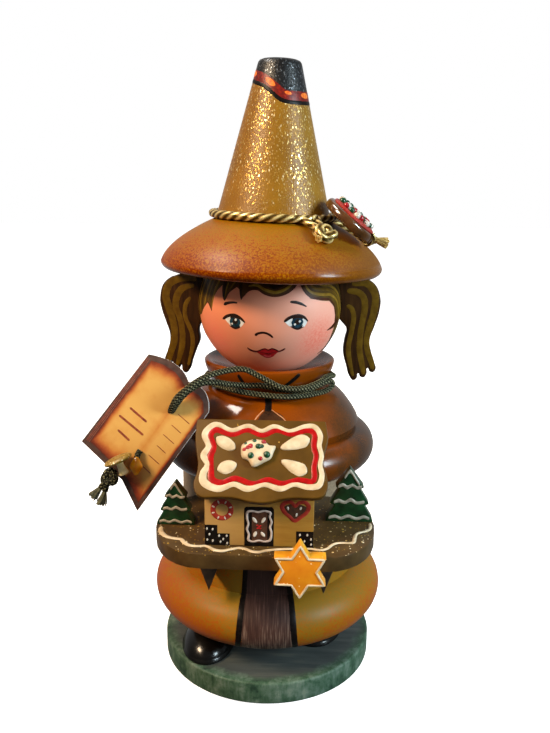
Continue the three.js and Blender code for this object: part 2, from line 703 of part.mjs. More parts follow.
const tagFace = tagThickness / 2 + gap;
const tailRadius = neckCordDiameter / 2;
const tagTail = (points, steps) => cord(points, tailRadius, steps);
add('tag_tail_back', tagTail([
  [0, 0.4, -tagFace - tailRadius],
  [0.2, -6, -tagFace - tailRadius - 0.3],
  [0, -12.4, -tagFace - tailRadius],
], 5), '#3b3a22', 0.8, 0, tag);
add('tag_tail_front', tagTail([
  [0, -11.6, tagFace + tailRadius],
  [0, -13.1, tagFace + tailRadius + 0.2],
], 2), '#3b3a22', 0.8, 0, tag);
const tagBead = add('tag_bead', turned([
  [0, -2.2],
  [0.5, -2.1],
  [1.6, -0.3],
  [1.6, 0.3],
  [0.5, 2.1],
  [0, 2.2],
], 12), '#e08a18', 0.25, 0, tag);
tagBead.quaternion.setFromUnitVectors(new THREE.Vector3(0, 0, 1), new THREE.Vector3(-0.571, 0.821, 0));
tagBead.position.set(1.5, -15, tagFace + 1.7);

const mushroom = add('tag_mushroom', turned([
  [0, -3.8],
  [1, -3.8],
  [1.2, -3.3],
  [0.85, -2],
  [0.8, -0.4],
  [3.2, -0.4],
  [3.4, 0],
  [2.9, 0.5],
  [0, 0.8],
], 18), '#c8a050', 0.4, 0, tag);
mushroom.quaternion.setFromUnitVectors(new THREE.Vector3(0, 0, 1), new THREE.Vector3(-0.83, 0.51, 0.2).normalize());
mushroom.position.set(-2.6, -16, tagFace + 3.7);

const knot = ball(1.75, 1.75, 1.6, 14, 8).translate(-1.9, -20.6, tagFace + 2.4);
const knotLoop = ball(0.9, 0.9, 0.8, 10, 6).translate(-3.5, -21.8, tagFace + 2.4);
const tailEnds = [[-2.7, -27.1], [0.1, -27.3]].map(([x, y]) => cord([
  [-1.9, -20.6, tagFace + 2.2],
  [0.5 * x - 0.95, 0.5 * y - 10.6, tagFace + 1.8],
  [x, y, tagFace + 1.4],
], 1, 4));
add('tag_knot', join(knot, knotLoop, ...tailEnds), '#4a4a2c', 0.8, 0, tag);

export default object;
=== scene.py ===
import math
import random
from functools import partial

import bpy
from mathutils import Euler, Matrix, Vector


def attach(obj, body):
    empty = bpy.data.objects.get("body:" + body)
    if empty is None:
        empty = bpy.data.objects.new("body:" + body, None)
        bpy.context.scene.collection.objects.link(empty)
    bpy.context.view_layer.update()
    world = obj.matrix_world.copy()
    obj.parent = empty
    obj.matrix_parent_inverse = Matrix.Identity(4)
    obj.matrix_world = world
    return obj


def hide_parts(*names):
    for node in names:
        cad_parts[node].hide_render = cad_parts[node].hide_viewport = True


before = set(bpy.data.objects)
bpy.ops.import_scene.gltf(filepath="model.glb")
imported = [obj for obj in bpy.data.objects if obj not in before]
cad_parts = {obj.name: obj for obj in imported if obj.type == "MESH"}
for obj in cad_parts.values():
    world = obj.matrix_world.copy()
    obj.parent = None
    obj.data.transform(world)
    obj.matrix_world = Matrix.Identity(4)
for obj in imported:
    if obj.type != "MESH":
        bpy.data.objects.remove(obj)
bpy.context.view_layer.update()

# Camera at the photograph's place, a plain pale floor and soft studio light: a warm window on the left, a
# taller cool one on the right, a strip that only gloss mirrors, a low fill without highlights, a ceiling and
# a pale room. Lights stand by angle round the figure, rise and distance in metres.
mm = 0.001
pitch_down = math.radians(13.93)
turned_aside = math.radians(2.4)
roll = math.radians(0.5)
bpy.context.scene.view_settings.view_transform = "Standard"
bpy.ops.object.select_all(action="DESELECT")
bpy.ops.object.camera_add(location=(0.00824, -0.19663, 0.1314))
camera = bpy.context.object
camera.name = "photo_camera"
to_front = Euler((math.pi / 2 - pitch_down, 0, turned_aside)).to_matrix()
camera.rotation_euler = (to_front @ Matrix.Rotation(roll, 3, "Z")).to_euler()
camera.data.sensor_fit = "VERTICAL"
camera.data.sensor_height = 24
camera.data.lens = 24.707
camera.data.shift_x = 0.0077
camera.data.clip_start = 0.01
bpy.context.scene.camera = camera

figure_middle = Vector((0, 0, 0.09))
for name, azimuth, rise, far, width, height, power, tint in [
    ("window_left", -53, 38, 0.6, 0.18, 0.12, 4.7, (1.0, 0.74, 0.48)),
    ("window_right", 63, 19, 0.6, 0.13, 0.24, 4.7, (0.74, 0.92, 1.0)),
    ("left_glint", -80, 59, 0.6, 0.26, 0.11, 3.2, (1.0, 0.93, 0.84)),
    ("low_fill", 8, 6, 0.8, 0.6, 0.35, 0.35, (1.0, 0.88, 0.82)),
    ("ceiling", 160, 68, 0.8, 0.6, 0.6, 0.8, (1.0, 0.98, 0.95)),
]:
    beside = math.radians(azimuth)
    above = math.radians(rise)
    level = far * math.cos(above)
    off = Vector((level * math.sin(beside), -level * math.cos(beside), far * math.sin(above)))
    aim = (-off).to_track_quat("-Z", "Y").to_euler()
    bpy.ops.object.light_add(type="AREA", location=figure_middle + off, rotation=aim)
    light = bpy.context.object
    light.name = name
    light.data.shape = "RECTANGLE"
    light.data.size = width
    light.data.size_y = height
    light.data.energy = power
    light.data.color = tint
    light.visible_glossy = name != "low_fill"
    light.visible_diffuse = name != "left_glint"


# sRGB hex to linear light
def linear(code):
    parts = [int(code[i:i + 2], 16) / 255 for i in (1, 3, 5)]
    return [c / 12.92 if c <= 0.04045 else ((c + 0.055) / 1.055) ** 2.4 for c in parts] + [1]


# The output that a node feeds others with, which is its first, or an output as it is
def output_of(source):
    return source.outputs[0] if isinstance(source, bpy.types.Node) else source


# A node with its settings, its ramp stops and what feeds its inputs
def add_node(owner, kind, settings=None, links=None, stops=None):
    made = owner.node_tree.nodes.new("ShaderNode" + kind)
    for name, value in (settings or {}).items():
        if isinstance(name, int) or name in made.inputs:
            made.inputs[name].default_value = value
        else:
            setattr(made, name, value)
    for name, source in (links or {}).items():
        owner.node_tree.links.new(output_of(source), made.inputs[name])
    for i, (at, colour) in enumerate(stops or []):
        if i > 1:
            made.color_ramp.elements.new(at)
        made.color_ramp.elements[i].position = at
        made.color_ramp.elements[i].color = linear(colour)
    return made


room = bpy.data.worlds.new("pale_room")
room.use_nodes = True
bpy.context.scene.world = room
toward = add_node(room, "TexCoord").outputs["Generated"]
aloft = add_node(room, "SeparateXYZ", None, {"Vector": toward})
glow = add_node(room, "MapRange", {"From Min": -0.4, "From Max": 0.6, "To Min": 0.07, "To Max": 0.22},
                {"Value": aloft.outputs["Z"]})
backdrop = add_node(room, "MapRange", {"From Min": 0.0, "From Max": 0.9, "To Min": 0.0, "To Max": 0.6},
                    {"Value": aloft.outputs["Y"]})
around = add_node(room, "Math", {"operation": "ADD"}, {0: glow, 1: backdrop})
ray = add_node(room, "LightPath")
dim = add_node(room, "MapRange", {"To Min": 1.0, "To Max": 0.6}, {"Value": ray.outputs["Is Glossy Ray"]})
fill = add_node(room, "Math", {"operation": "MULTIPLY"}, {0: around, 1: dim})
room_level = add_node(room, "MapRange", {"To Max": 1.0},
                      {"Value": ray.outputs["Is Camera Ray"], "To Min": fill})
background = room.node_tree.nodes["Background"]
background.inputs["Color"].default_value = (1, 1, 1, 1)
room.node_tree.links.new(room_level.outputs["Result"], background.inputs["Strength"])


# A new material with its shader's own sockets set, the call that adds a node to it, and Object coordinates
def new_finish(name, colour, roughness, **sockets):
    made = bpy.data.materials.new(name)
    made.use_nodes = True
    shader = made.node_tree.nodes["Principled BSDF"]
    shader.inputs["Base Color"].default_value = linear(colour)
    shader.inputs["Roughness"].default_value = roughness
    for key, value in sockets.items():
        shader.inputs[key.replace("_", " ")].default_value = value
    return made, partial(add_node, made), add_node(made, "TexCoord").outputs["Object"]


# What feeds the shader of a finish, by socket
def feed(finish, **sources):
    shader = finish.node_tree.nodes["Principled BSDF"]
    for key, source in sources.items():
        finish.node_tree.links.new(output_of(source), shader.inputs[key.replace("_", " ")])


# How often a pattern of that size in millimetres repeats in a metre
def per_mm(size):
    return 1000 / size


bpy.ops.mesh.primitive_grid_add(x_subdivisions=2, y_subdivisions=2, size=4, location=(0, 0, -0.0004))
floor = bpy.context.object
floor.name = "floor"
pale_floor, *_ = new_finish("pale_floor", "#F6F5F2", 0.7, Emission_Color=(1, 1, 1, 1),
                            Emission_Strength=0.85)
floor.data.materials.append(pale_floor)
floor.visible_diffuse = False
floor.visible_glossy = False

# Olive cord round the neck, plaited from dark polyester. It runs from the tag's hole
# over the collar, round the back of the neck, across the front to a fold, and back to the tag.
collar_z = 80
neck_route = [
    (-22.7, -24.3, -3), (-21.8, -26, -0.9), (-20.6, -26.8, 1.2), (-18.7, -26.7, 3), (-16.1, -25.6, 4.9),
    (-13.4, -23.9, 6), (-10.7, -22.2, 6.5), (-8, -20.9, 6.8), (-5.1, -20.1, 6.7), (-2.5, -19.6, 5.4),
    (0.2, -19.4, 3.9), (3.2, -19.2, 2.3), (6.1, -18.4, 1.6), (9.7, -16.6, 1.5), (12.7, -13.9, 2),
    (15.2, -9.6, 2.6), (16.8, -4.6, 1.6), (16.9, 1, 0.4), (14.9, 7.8, 0), (10, 13.5, -0.1), (3, 16.5, -0.1),
    (-4, 16.3, -0.1), (-10.8, 12.9, -0.1), (-15.4, 6.7, -0.1), (-16.9, -0.4, -0.1), (-15.9, -6.4, 0.1),
    (-13.9, -11, 0.5), (-10.4, -15.4, 0.8), (-7.2, -17.3, 0.5), (-4, -17.9, 0.1), (0, -18.1, -0.3),
    (3.7, -17.9, -0.6), (8.1, -16.3, -0.8), (12.6, -13, -0.9), (14.9, -11, -0.75), (16.1, -9.9, -0.2),
    (16.6, -9.4, 0.6), (16.2, -9.8, 1.4), (15, -10.9, 1.55), (12.9, -12.4, 0.9), (9.3, -14.8, 0.3),
    (6, -16.2, 0.6), (3.6, -16.9, 1), (-0.8, -17.2, 1.9), (-5.3, -17.9, 2.1), (-9.2, -19.9, 2.9),
    (-12.5, -22.2, 3.9), (-15.3, -23.6, 3.9), (-17.2, -24.4, 3), (-18.9, -25.1, 1.8), (-20.8, -25, -0.5),
    (-22.4, -24.2, -3.1),
]


# A smooth line through given points, as evenly spaced points in millimetres
def smooth_route(points, spacing):
    bpy.ops.object.select_all(action="DESELECT")
    bpy.ops.curve.primitive_bezier_curve_add(location=(0, 0, 0))
    curve = bpy.context.object
    spline = curve.data.splines[0]
    spline.bezier_points.add(len(points) - 2)
    for knot, point in zip(spline.bezier_points, points):
        knot.co = point
        knot.handle_left_type = "AUTO"
        knot.handle_right_type = "AUTO"
    curve.data.resolution_u = 16
    bpy.ops.object.convert(target="MESH")
    dense = [v.co.copy() for v in bpy.context.object.data.vertices]
    bpy.ops.object.delete()
    travelled = [0]
    for a, b in zip(dense, dense[1:]):
        travelled.append(travelled[-1] + (b - a).length)
    count = max(2, round(travelled[-1] / spacing))
    even = []
    at = 0
    for i in range(count + 1):
        goal = travelled[-1] * i / count
        while at < len(dense) - 2 and travelled[at + 1] < goal:
            at += 1
        span = max(travelled[at + 1] - travelled[at], 1e-9)
        even.append(dense[at].lerp(dense[at + 1], min(1, (goal - travelled[at]) / span)))
    return even


# Puts a mesh on the bench as a new piece in its finish, selected alone
def set_up(name, mesh, finish):
    mesh.materials.clear()
    mesh.materials.append(finish)
    piece = bpy.data.objects.new(name, mesh)
    bpy.context.collection.objects.link(piece)
    bpy.ops.object.select_all(action="DESELECT")
    piece.select_set(True)
    bpy.context.view_layer.objects.active = piece
    return piece


# Closes the piece on the bench: doubles merged, faces outward, edges smooth up to an angle in degrees
def close_up(merge, smooth):
    bpy.ops.object.mode_set(mode="EDIT")
    bpy.ops.mesh.select_all(action="SELECT")
    bpy.ops.mesh.remove_doubles(threshold=merge)
    bpy.ops.mesh.normals_make_consistent(inside=False)
    bpy.ops.object.mode_set(mode="OBJECT")
    bpy.ops.object.shade_smooth_by_angle(angle=math.radians(smooth))


# A new piece from points in millimetres, in the frame of what it lies on
def new_piece(name, points, faces, finish, place=None, smooth=35):
    mesh = bpy.data.meshes.new(name)
    mesh.from_pydata([((place @ Vector(p)) if place else Vector(p)) * mm for p in points], [], faces)
    piece = set_up(name, mesh, finish)
    close_up(1e-7, smooth)
    return piece


# A value for each point of a piece, which its finish reads by name
def mark(piece, name, values):
    piece.data.attributes.new(name, "FLOAT", "POINT").data.foreach_set("value", values)


# Share of a rope's radius that lies between its strands
valley = 0.8


# Points and faces of a round rope along a route, and how far its strands stand up there, from 0 to 1
def rope(route, radius, sides, crown=None, depth=1 - valley):
    points = []
    faces = []
    crowns = []
    along = 0
    side = None
    for i, here in enumerate(route):
        ahead = (route[min(i + 1, len(route) - 1)] - route[max(i - 1, 0)]).normalized()
        if side is None:
            side = ahead.orthogonal().normalized()
        side = (side - ahead * side.dot(ahead)).normalized()
        other = ahead.cross(side)
        if i:
            along += (here - route[i - 1]).length
        for k in range(sides):
            turn = 2 * math.pi * k / sides
            crowns.append(crown(turn, along) if crown else 1)
            swell = radius * (valley + depth * crowns[-1])
            points.append(here + (side * math.cos(turn) + other * math.sin(turn)) * swell)
    for i in range(len(route) - 1):
        for k in range(sides):
            a = i * sides + k
            b = i * sides + (k + 1) % sides
            faces.append((a, b, b + sides, a + sides))
    faces.append(tuple(reversed(range(sides))))
    faces.append(tuple(range((len(route) - 1) * sides, len(route) * sides)))
    return points, faces, crowns


# A cord along a route, with its strands' crowns marked for its finish
def corded(name, route, radius, sides, crown, depth, finish, place=None, smooth=35):
    points, faces, crowns = rope(route, radius, sides, crown, depth)
    piece = new_piece(name, points, faces, finish, place, smooth)
    mark(piece, "crown", crowns)
    return piece


# Plaited polyester: dull dark olive, with painted shade almost black between the strands and a painted
# pale olive highlight on each crown
cord_radius = 0.72
plait_pitch = 0.85
plait_depth = 0.24
olive_cord, node, where = new_finish("plaited_polyester_cord", "#2A2916", 0.75, Specular_IOR_Level=0.15)
thread = node("Attribute", {"attribute_name": "crown"})
shade = node("ValToRGB", None, {"Fac": thread.outputs["Fac"]},
             [(0.0, "#030301"), (0.7, "#12130A"), (0.9, "#2A2C16"), (0.995, "#A8A480")])
feed(olive_cord, Base_Color=shade)


# How far a plaited strand stands up at a place on the cord: four strands go each way round
def plaited(turn, along):
    lay = 2 * math.pi * along / plait_pitch
    return max(math.cos(4 * turn + lay), math.cos(4 * turn - lay)) * 0.5 + 0.5


# A length of the olive cord
def olive_rope(name, route, sides, place=None, radius=cord_radius):
    return corded(name, route, radius, sides, plaited, plait_depth, olive_cord, place)


# How a finished piece moves and which solids it stands for; its slot is not used
def fit(piece, body, slot, *nodes):
    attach(piece, body)
    if nodes:
        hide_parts(*nodes)


neck_line = smooth_route([(x, y, z + collar_z) for x, y, z in neck_route], 0.1)
neck_cord = olive_rope("neck_cord_plaited", neck_line, 20)
fit(neck_cord, "upper", "olive_cord", "neck_cord")

# Round base, turned from beech and brushed with thin green stain that pools in streaks; the top is rubbed
# to a slate grey. The figure's dowel is glued into its blind hole.
base_radius = 29.1
base_top = 6.2


# Points on an ellipse from one angle to another in degrees, as radius and height
def arc(r, z, a, b, start, end, count):
    run = []
    for i in range(count + 1):
        turn = math.radians(start + (end - start) * i / count)
        run.append((r + a * math.cos(turn), z + b * math.sin(turn)))
    return run


# A blank turned on the lathe: a profile of radius and height in millimetres, spun round the axis
def turned(name, profile, finish, steps=128, place=None, smooth=35):
    mesh = bpy.data.meshes.new(name)
    mesh.from_pydata([(r * mm, 0, z * mm) for r, z in profile],
                     [(i, i + 1) for i in range(len(profile) - 1)], [])
    piece = set_up(name, mesh, finish)
    bpy.ops.object.mode_set(mode="EDIT")
    bpy.ops.mesh.select_all(action="SELECT")
    bpy.ops.mesh.spin(steps=steps, angle=2 * math.pi, center=(0, 0, 0), axis=(0, 0, 1))
    close_up(2e-6, smooth)
    if place:
        mesh.transform(Matrix.Translation(place.translation * mm) @ place.to_3x3().to_4x4())
    return piece


# Stained beech: dull and streaked down the rim, with slate grey where the top is rubbed
green_stain, node, where = new_finish("green_stained_beech", "#3F6B4A", 0.55, Specular_IOR_Level=0.25)
streak_run = node("Mapping", {"Scale": (1, 1, 0.18)}, {"Vector": where})
streaks = node("TexNoise", {"Scale": per_mm(1.1), "Detail": 5, "Roughness": 0.65}, {"Vector": streak_run})
pools = node("TexNoise", {"Scale": per_mm(5), "Detail": 5, "Roughness": 0.7}, {"Vector": where})
pooled = node("Math", {"operation": "MULTIPLY_ADD", 1: 0.5, 2: -0.25}, {0: streaks})
soaked = node("Math", {"operation": "ADD"}, {0: pooled, 1: pools})
rim_green = node("ValToRGB", None, {"Fac": soaked},
                 [(0.32, "#20362A"), (0.47, "#3A5440"), (0.6, "#55695A"), (0.75, "#6E7C6C")])
apart = node("SeparateXYZ", None, {"Vector": where})
flat_place = node("CombineXYZ", None, {"X": apart.outputs["X"], "Y": apart.outputs["Y"]})
out_from_axis = node("VectorMath", {"operation": "LENGTH"}, {0: flat_place})
ragged = node("Math", {"operation": "MULTIPLY_ADD", 1: 5 * mm},
              {0: pools, 2: out_from_axis.outputs["Value"]})
rubbed = node("MapRange", {"From Min": 28 * mm, "From Max": 30.6 * mm, "To Min": 1, "To Max": 0},
              {"Value": ragged})
on_top = node("Math", {"operation": "GREATER_THAN", 1: (base_top - 0.15) * mm}, {0: apart.outputs["Z"]})
top_share = node("Math", {"operation": "MULTIPLY"}, {0: rubbed, 1: on_top})
grain_run = node("Mapping", {"Scale": (0.12, 1, 1)}, {"Vector": where})
grain = node("TexNoise", {"Scale": per_mm(1.4), "Detail": 4}, {"Vector": grain_run})
slate = node("ValToRGB", None, {"Fac": grain}, [(0.3, "#373C3C"), (0.6, "#454A48"), (0.8, "#565850")])
stain = node("MixRGB", None, {"Fac": top_share, "Color1": rim_green, "Color2": slate})
pores = node("Bump", {"Strength": 0.25, "Distance": 0.15 * mm}, {"Height": streaks})
feed(green_stain, Base_Color=stain, Normal=pores)

base = turned("base_turned", [
    (0, 0), *arc(base_radius - 0.7, 0.7, 0.7, 0.7, -90, 0, 5),
    *arc(base_radius - 0.7, base_top - 0.7, 0.7, 0.7, 0, 90, 5), (20, base_top), (10, base_top),
    (3, base_top), (3, 2.5), (0, 2.5),
], green_stain)
fit(base, "lower", "green_paint", "base_disc")

# Dowels and pegs of plain beech, glued out of sight: they keep their solids and get bare wood, mottled with
# fine paler flecks.


# A finish whose tone drifts in clouds of that size in millimetres; relief is a bump's strength and height
def mottled(name, colour, roughness, cloud, detail, stops, relief=None, **sockets):
    made, node, where = new_finish(name, colour, roughness, **sockets)
    drift = node("TexNoise", {"Scale": per_mm(cloud), "Detail": detail}, {"Vector": where})
    feed(made, Base_Color=node("ValToRGB", None, {"Fac": drift}, stops))
    if relief:
        strength, height = relief
        feed(made, Normal=node("Bump", {"Strength": strength, "Distance": height * mm}, {"Height": drift}))
    return made


bare_beech = mottled("bare_beech", "#C9A878", 0.65, 0.8, 5,
                     [(0.3, "#B08A58"), (0.55, "#CDAE80"), (0.8, "#DCC49C")])


# Gives a solid that stays as it is a better finish
def dress(solid, finish):
    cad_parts[solid].data.materials.clear()
    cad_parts[solid].data.materials.append(finish)


for peg in ["base_dowel", "tray_dowel_left", "tray_dowel_right", "pigtail_peg_left", "pigtail_peg_right"]:
    dress(peg, bare_beech)

# Shoes, turned half balls of beech with a thin sole, glued to the base under the hem. Their gloss paint is
# near black, with a bright window in it that fine orange peel breaks up.
black_gloss, node, where = new_finish("black_gloss_paint", "#0A0908", 0.2)
peel = node("TexNoise", {"Scale": per_mm(0.9), "Detail": 2}, {"Vector": where})
sheen = node("MapRange", {"To Min": 0.14, "To Max": 0.3}, {"Value": peel})
orange_peel = node("Bump", {"Strength": 0.08, "Distance": 0.1 * mm}, {"Height": peel})
feed(black_gloss, Roughness=sheen, Normal=orange_peel)
for name, across, forward, swing in [("shoe_left", -15.7, -11.7, 0), ("shoe_right", 14.4, -2.2, -8)]:
    shoe = turned(name + "_turned", [
        (0, 0), (0.97, 0), (1.0, 0.05), (1.0, 0.13), (0.96, 0.19), *arc(0, 0, 0.98, 1, 13, 90, 16),
    ], black_gloss, 64)
    shape = Matrix.Translation(Vector((across, forward, base_top)) * mm)
    shape @= Matrix.Rotation(math.radians(swing), 4, "Z") @ Matrix.Diagonal((7.2, 11, 6.5, 1))
    shoe.data.transform(shape)
    fit(shoe, "lower", "black_gloss_paint", name)

# Skirt and waist, turned in one piece from lime wood, bored for the incense cone and pierced at the back
# for air. Ochre lacquer with orange airbrush below and at the sides; the waist and the cup are bare.
skirt_outside = [
    *arc(19.6, 21.5, 12, 8.2, -90, 0, 18), *arc(24.4, 21.5, 7.2, 7, 0, 90, 14)[1:], (23.6, 44.7),
    (23.6, 57.6), (23.3, 58),
]


# Airbrushed cover: a smooth share that is uneven in drifts of one size and spattered in grains of another
def airbrushed(node, where, cover, drift, drift_by, grain, detail, spread, grain_by):
    mist = node("TexNoise", {"Scale": per_mm(drift), "Detail": 3}, {"Vector": where})
    grit = node("TexNoise", {"Scale": per_mm(grain), "Detail": detail, "Roughness": 0.7}, {"Vector": where})
    uneven = node("MapRange", {"From Min": 0.3, "From Max": 0.7, "To Min": -drift_by, "To Max": drift_by},
                  {"Value": mist})
    spatter = node("MapRange", {"From Min": 0.5 - spread, "From Max": 0.5 + spread, "To Min": -grain_by,
                                "To Max": grain_by}, {"Value": grit})
    misted = node("Math", {"operation": "ADD"}, {0: cover, 1: uneven})
    return node("Math", {"operation": "ADD"}, {0: misted, 1: spatter}), grit


# Satin lacquer: ochre that clouds to orange, with spray grains coarse enough to show
airbrush, node, where = new_finish("airbrushed_ochre_lacquer", "#8E6416", 0.45, Specular_IOR_Level=0.16)
apart = node("SeparateXYZ", None, {"Vector": where})
low = node("MapRange", {"From Min": 13 * mm, "From Max": 27 * mm, "To Min": 1, "To Max": 0},
           {"Value": apart.outputs["Z"]})
sideways = node("MapRange", {"From Min": -6 * mm, "From Max": -26 * mm, "To Min": 0, "To Max": 0.6},
                {"Value": apart.outputs["X"]})
edge = node("MapRange", {"From Min": 20 * mm, "From Max": 31 * mm, "To Min": 0, "To Max": 0.4},
            {"Value": apart.outputs["X"]})
sum_sides = node("Math", {"operation": "ADD"}, {0: sideways, 1: edge})
sum_low = node("Math", {"operation": "ADD"}, {0: low, 1: sum_sides})
sprayed, grit = airbrushed(node, where, sum_low, 9, 0.2, 0.6, 3, 0.14, 0.34)
tone = node("ValToRGB", None, {"Fac": sprayed},
            [(0.1, "#84601A"), (0.42, "#965E0A"), (0.72, "#9E4C06"), (1.0, "#94502A")])
bare = node("MapRange", {"From Min": 44 * mm, "From Max": 46 * mm}, {"Value": apart.outputs["Z"]})
waist_tone = node("ValToRGB", None, {"Fac": grit}, [(0.3, "#7A6650"), (0.6, "#92806A")])
skirt_tone = node("MixRGB", None, {"Fac": bare, "Color1": tone, "Color2": waist_tone})
skin_bump = node("Bump", {"Strength": 0.1, "Distance": 0.08 * mm}, {"Height": grit})
feed(airbrush, Base_Color=skirt_tone, Normal=skin_bump)


# Cuts a tool's shape out of a piece
def cut(piece, tool):
    bpy.context.view_layer.objects.active = piece
    bpy.ops.object.modifier_add(type="BOOLEAN")
    piece.modifiers["Boolean"].object = tool
    piece.modifiers["Boolean"].operation = "DIFFERENCE"
    bpy.ops.object.modifier_apply(modifier="Boolean")
    bpy.data.objects.remove(tool)


skirt = turned("skirt_turned", [
    (0, 14.2), (3, 14.2), (3, base_top), (6.2, base_top), (6.2, 13.3), *skirt_outside, (20.4, 58),
    (20.2, 58.2), (20.2, 62.6), (19.8, 63), (17.4, 63), (17, 62.6), (17, 46), (0.85, 46), (0.85, 39.7),
    (0, 39.7),
], airbrush, 160)
bpy.ops.object.select_all(action="DESELECT")
bpy.ops.mesh.primitive_cylinder_add(vertices=40, radius=3.1 * mm, depth=12.8 * mm,
                                    rotation=(math.pi / 2, 0, 0),
                                    location=(0, 20.3 * mm, 50.3 * mm))
cut(skirt, bpy.context.object)
skirt.select_set(True)
bpy.ops.object.shade_smooth_by_angle(angle=math.radians(35))
fit(skirt, "lower", "ochre_lacquer", "skirt")

# Apron strip painted down the skirt's front: dark brown, dry-brushed with pale streaks towards the hem,
# with a black line down each side.


# A place on a turned surface: across from the front, and up along the outline from its first point
def on_turned(outline):
    reach = [0]
    for (r0, z0), (r1, z1) in zip(outline, outline[1:]):
        reach.append(reach[-1] + math.hypot(r1 - r0, z1 - z0))

    def spot(across, up):
        at = 0
        while at < len(outline) - 2 and reach[at + 1] < up:
            at += 1
        (r0, z0), (r1, z1) = outline[at], outline[at + 1]
        share = (up - reach[at]) / (reach[at + 1] - reach[at])
        r = r0 + (r1 - r0) * share
        turn = across / r
        out = Vector((z1 - z0, 0, r0 - r1)).normalized()
        face = Vector((math.sin(turn), -math.cos(turn), 0))
        return face * r + Vector((0, 0, z0 + (z1 - z0) * share)), face * out.x + Vector((0, 0, out.z))
    return spot


# A run through given (u, v, width) points, cut short enough to follow the surface
def stroke_line(points, step, soft, closed):
    count = len(points)
    line = []
    for i in range(count if closed else count - 1):
        if closed:
            p0, p1, p2, p3 = (Vector(points[(i + k) % count]) for k in (-1, 0, 1, 2))
        else:
            p0, p1, p2, p3 = (Vector(points[min(max(i + k, 0), count - 1)]) for k in (-1, 0, 1, 2))
        parts = max(2, math.ceil((p2 - p1).to_2d().length / step))
        for k in range(parts):
            t = k / parts
            if soft:
                bend = (p2 - p0) * t + (2 * p0 - 5 * p1 + 4 * p2 - p3) * t * t
                line.append(p1 + 0.5 * (bend + (3 * p1 - p0 - 3 * p2 + p3) * t ** 3))
            else:
                line.append(p1.lerp(p2, t))
    if not closed:
        line.append(Vector(points[-1]))
    return line


# Strokes of paint or icing laid on a surface: domed on top, rounded at the ends and sunk a little below
def brushed(name, strokes, spot, rise, finish, body, slot, step=0.3, soft=True, closed=False, ends=True,
            across=6, sink=0.15, lift=0.015):
    points = []
    faces = []
    for stroke in strokes:
        line = stroke_line(stroke, step, soft, closed)
        rows = len(line)
        run = [0]
        for a, b in zip(line, line[1:]):
            run.append(run[-1] + (b - a).to_2d().length)
        first = len(points)
        for i, (u, v, wide) in enumerate(line):
            if closed:
                ahead = (line[(i + 1) % rows] - line[i - 1]).to_2d()
            else:
                ahead = (line[min(i + 1, rows - 1)] - line[max(i - 1, 0)]).to_2d()
            half = max(wide, 0.06) / 2
            if ends and not closed:
                near = min(run[i], run[-1] - run[i]) / half
                if near < 1:
                    half *= max(0.12, math.sqrt(1 - (1 - near) ** 2))
            side = Vector((-ahead.y, ahead.x)).normalized() * half
            for over in (True, False):
                for c in range(across + 1):
                    s = 2 * c / across - 1
                    here, out = spot(u + side.x * s, v + side.y * s)
                    up = lift + rise * math.sqrt(max(0, 1 - s * s)) if over else -sink
                    points.append(here + out * up)
        row = 2 * (across + 1)
        for i in range(rows if closed else rows - 1):
            a = first + i * row
            b = first + ((i + 1) % rows) * row
            for c in range(across):
                faces.append((a + c, a + c + 1, b + c + 1, b + c))
                faces.append((a + across + 1 + c, b + across + 1 + c, b + across + 2 + c,
                              a + across + 2 + c))
            faces.append((a, b, b + across + 1, a + across + 1))
            faces.append((a + across, a + row - 1, b + row - 1, b + across))
        if not closed:
            last = first + (rows - 1) * row
            for c in range(across):
                faces.append((first + c, first + across + 1 + c, first + across + 2 + c, first + c + 1))
                faces.append((last + c, last + c + 1, last + across + 2 + c, last + across + 1 + c))
    fit(new_piece(name, points, faces, finish, smooth=50), body, slot)


# Dry-brushed paint: long bristle streaks, palest at the hem
apron_paint, node, where = new_finish("dry_brushed_brown_paint", "#3A241E", 0.5, Specular_IOR_Level=0.2)
apart = node("SeparateXYZ", None, {"Vector": where})
down = node("Mapping", {"Scale": (1, 0.05, 0.05)}, {"Vector": where})
bristles = node("TexNoise", {"Scale": per_mm(0.32), "Detail": 4, "Roughness": 0.6}, {"Vector": down})
low = node("MapRange", {"From Min": 15 * mm, "From Max": 33 * mm, "To Min": 0.2, "To Max": -0.14},
           {"Value": apart.outputs["Z"]})
dry = node("Math", {"operation": "ADD"}, {0: bristles, 1: low})
brush_marks = node("ValToRGB", None, {"Fac": dry},
                   [(0.42, "#33201B"), (0.6, "#4A322B"), (0.74, "#7A6355"), (0.86, "#A08C7C")])
feed(apron_paint, Base_Color=brush_marks)

# Line paint: a dense black that thins to brown in places
line_black = mottled("black_line_paint", "#080605", 0.4, 0.6, 3, [(0.35, "#080606"), (0.75, "#1C1512")],
                     Specular_IOR_Level=0.12)

on_skirt = on_turned(skirt_outside)
brushed("apron_strip",
        [[(1.2, 3, 13.2), (1.2, 10, 13.1), (1.1, 20, 11.9), (0.9, 31, 10.5), (0.7, 48, 8.6)]], on_skirt,
        0.05, apron_paint, "lower", "gingerbread_paint", 0.8, ends=False, across=14)
brushed("apron_side_lines", [
    [(-6.1, 2, 1.6), (-6.2, 10, 1.5), (-5.5, 20, 1.5), (-4.8, 31, 1.3), (-3.9, 48, 1.2)],
    [(8.4, 2, 1.6), (8.5, 10, 1.5), (7.7, 20, 1.6), (6.5, 31, 1.4), (5.2, 48, 1.2)],
], on_skirt, 0.07, line_black, "lower", "black_gloss_paint", 0.8, ends=False)

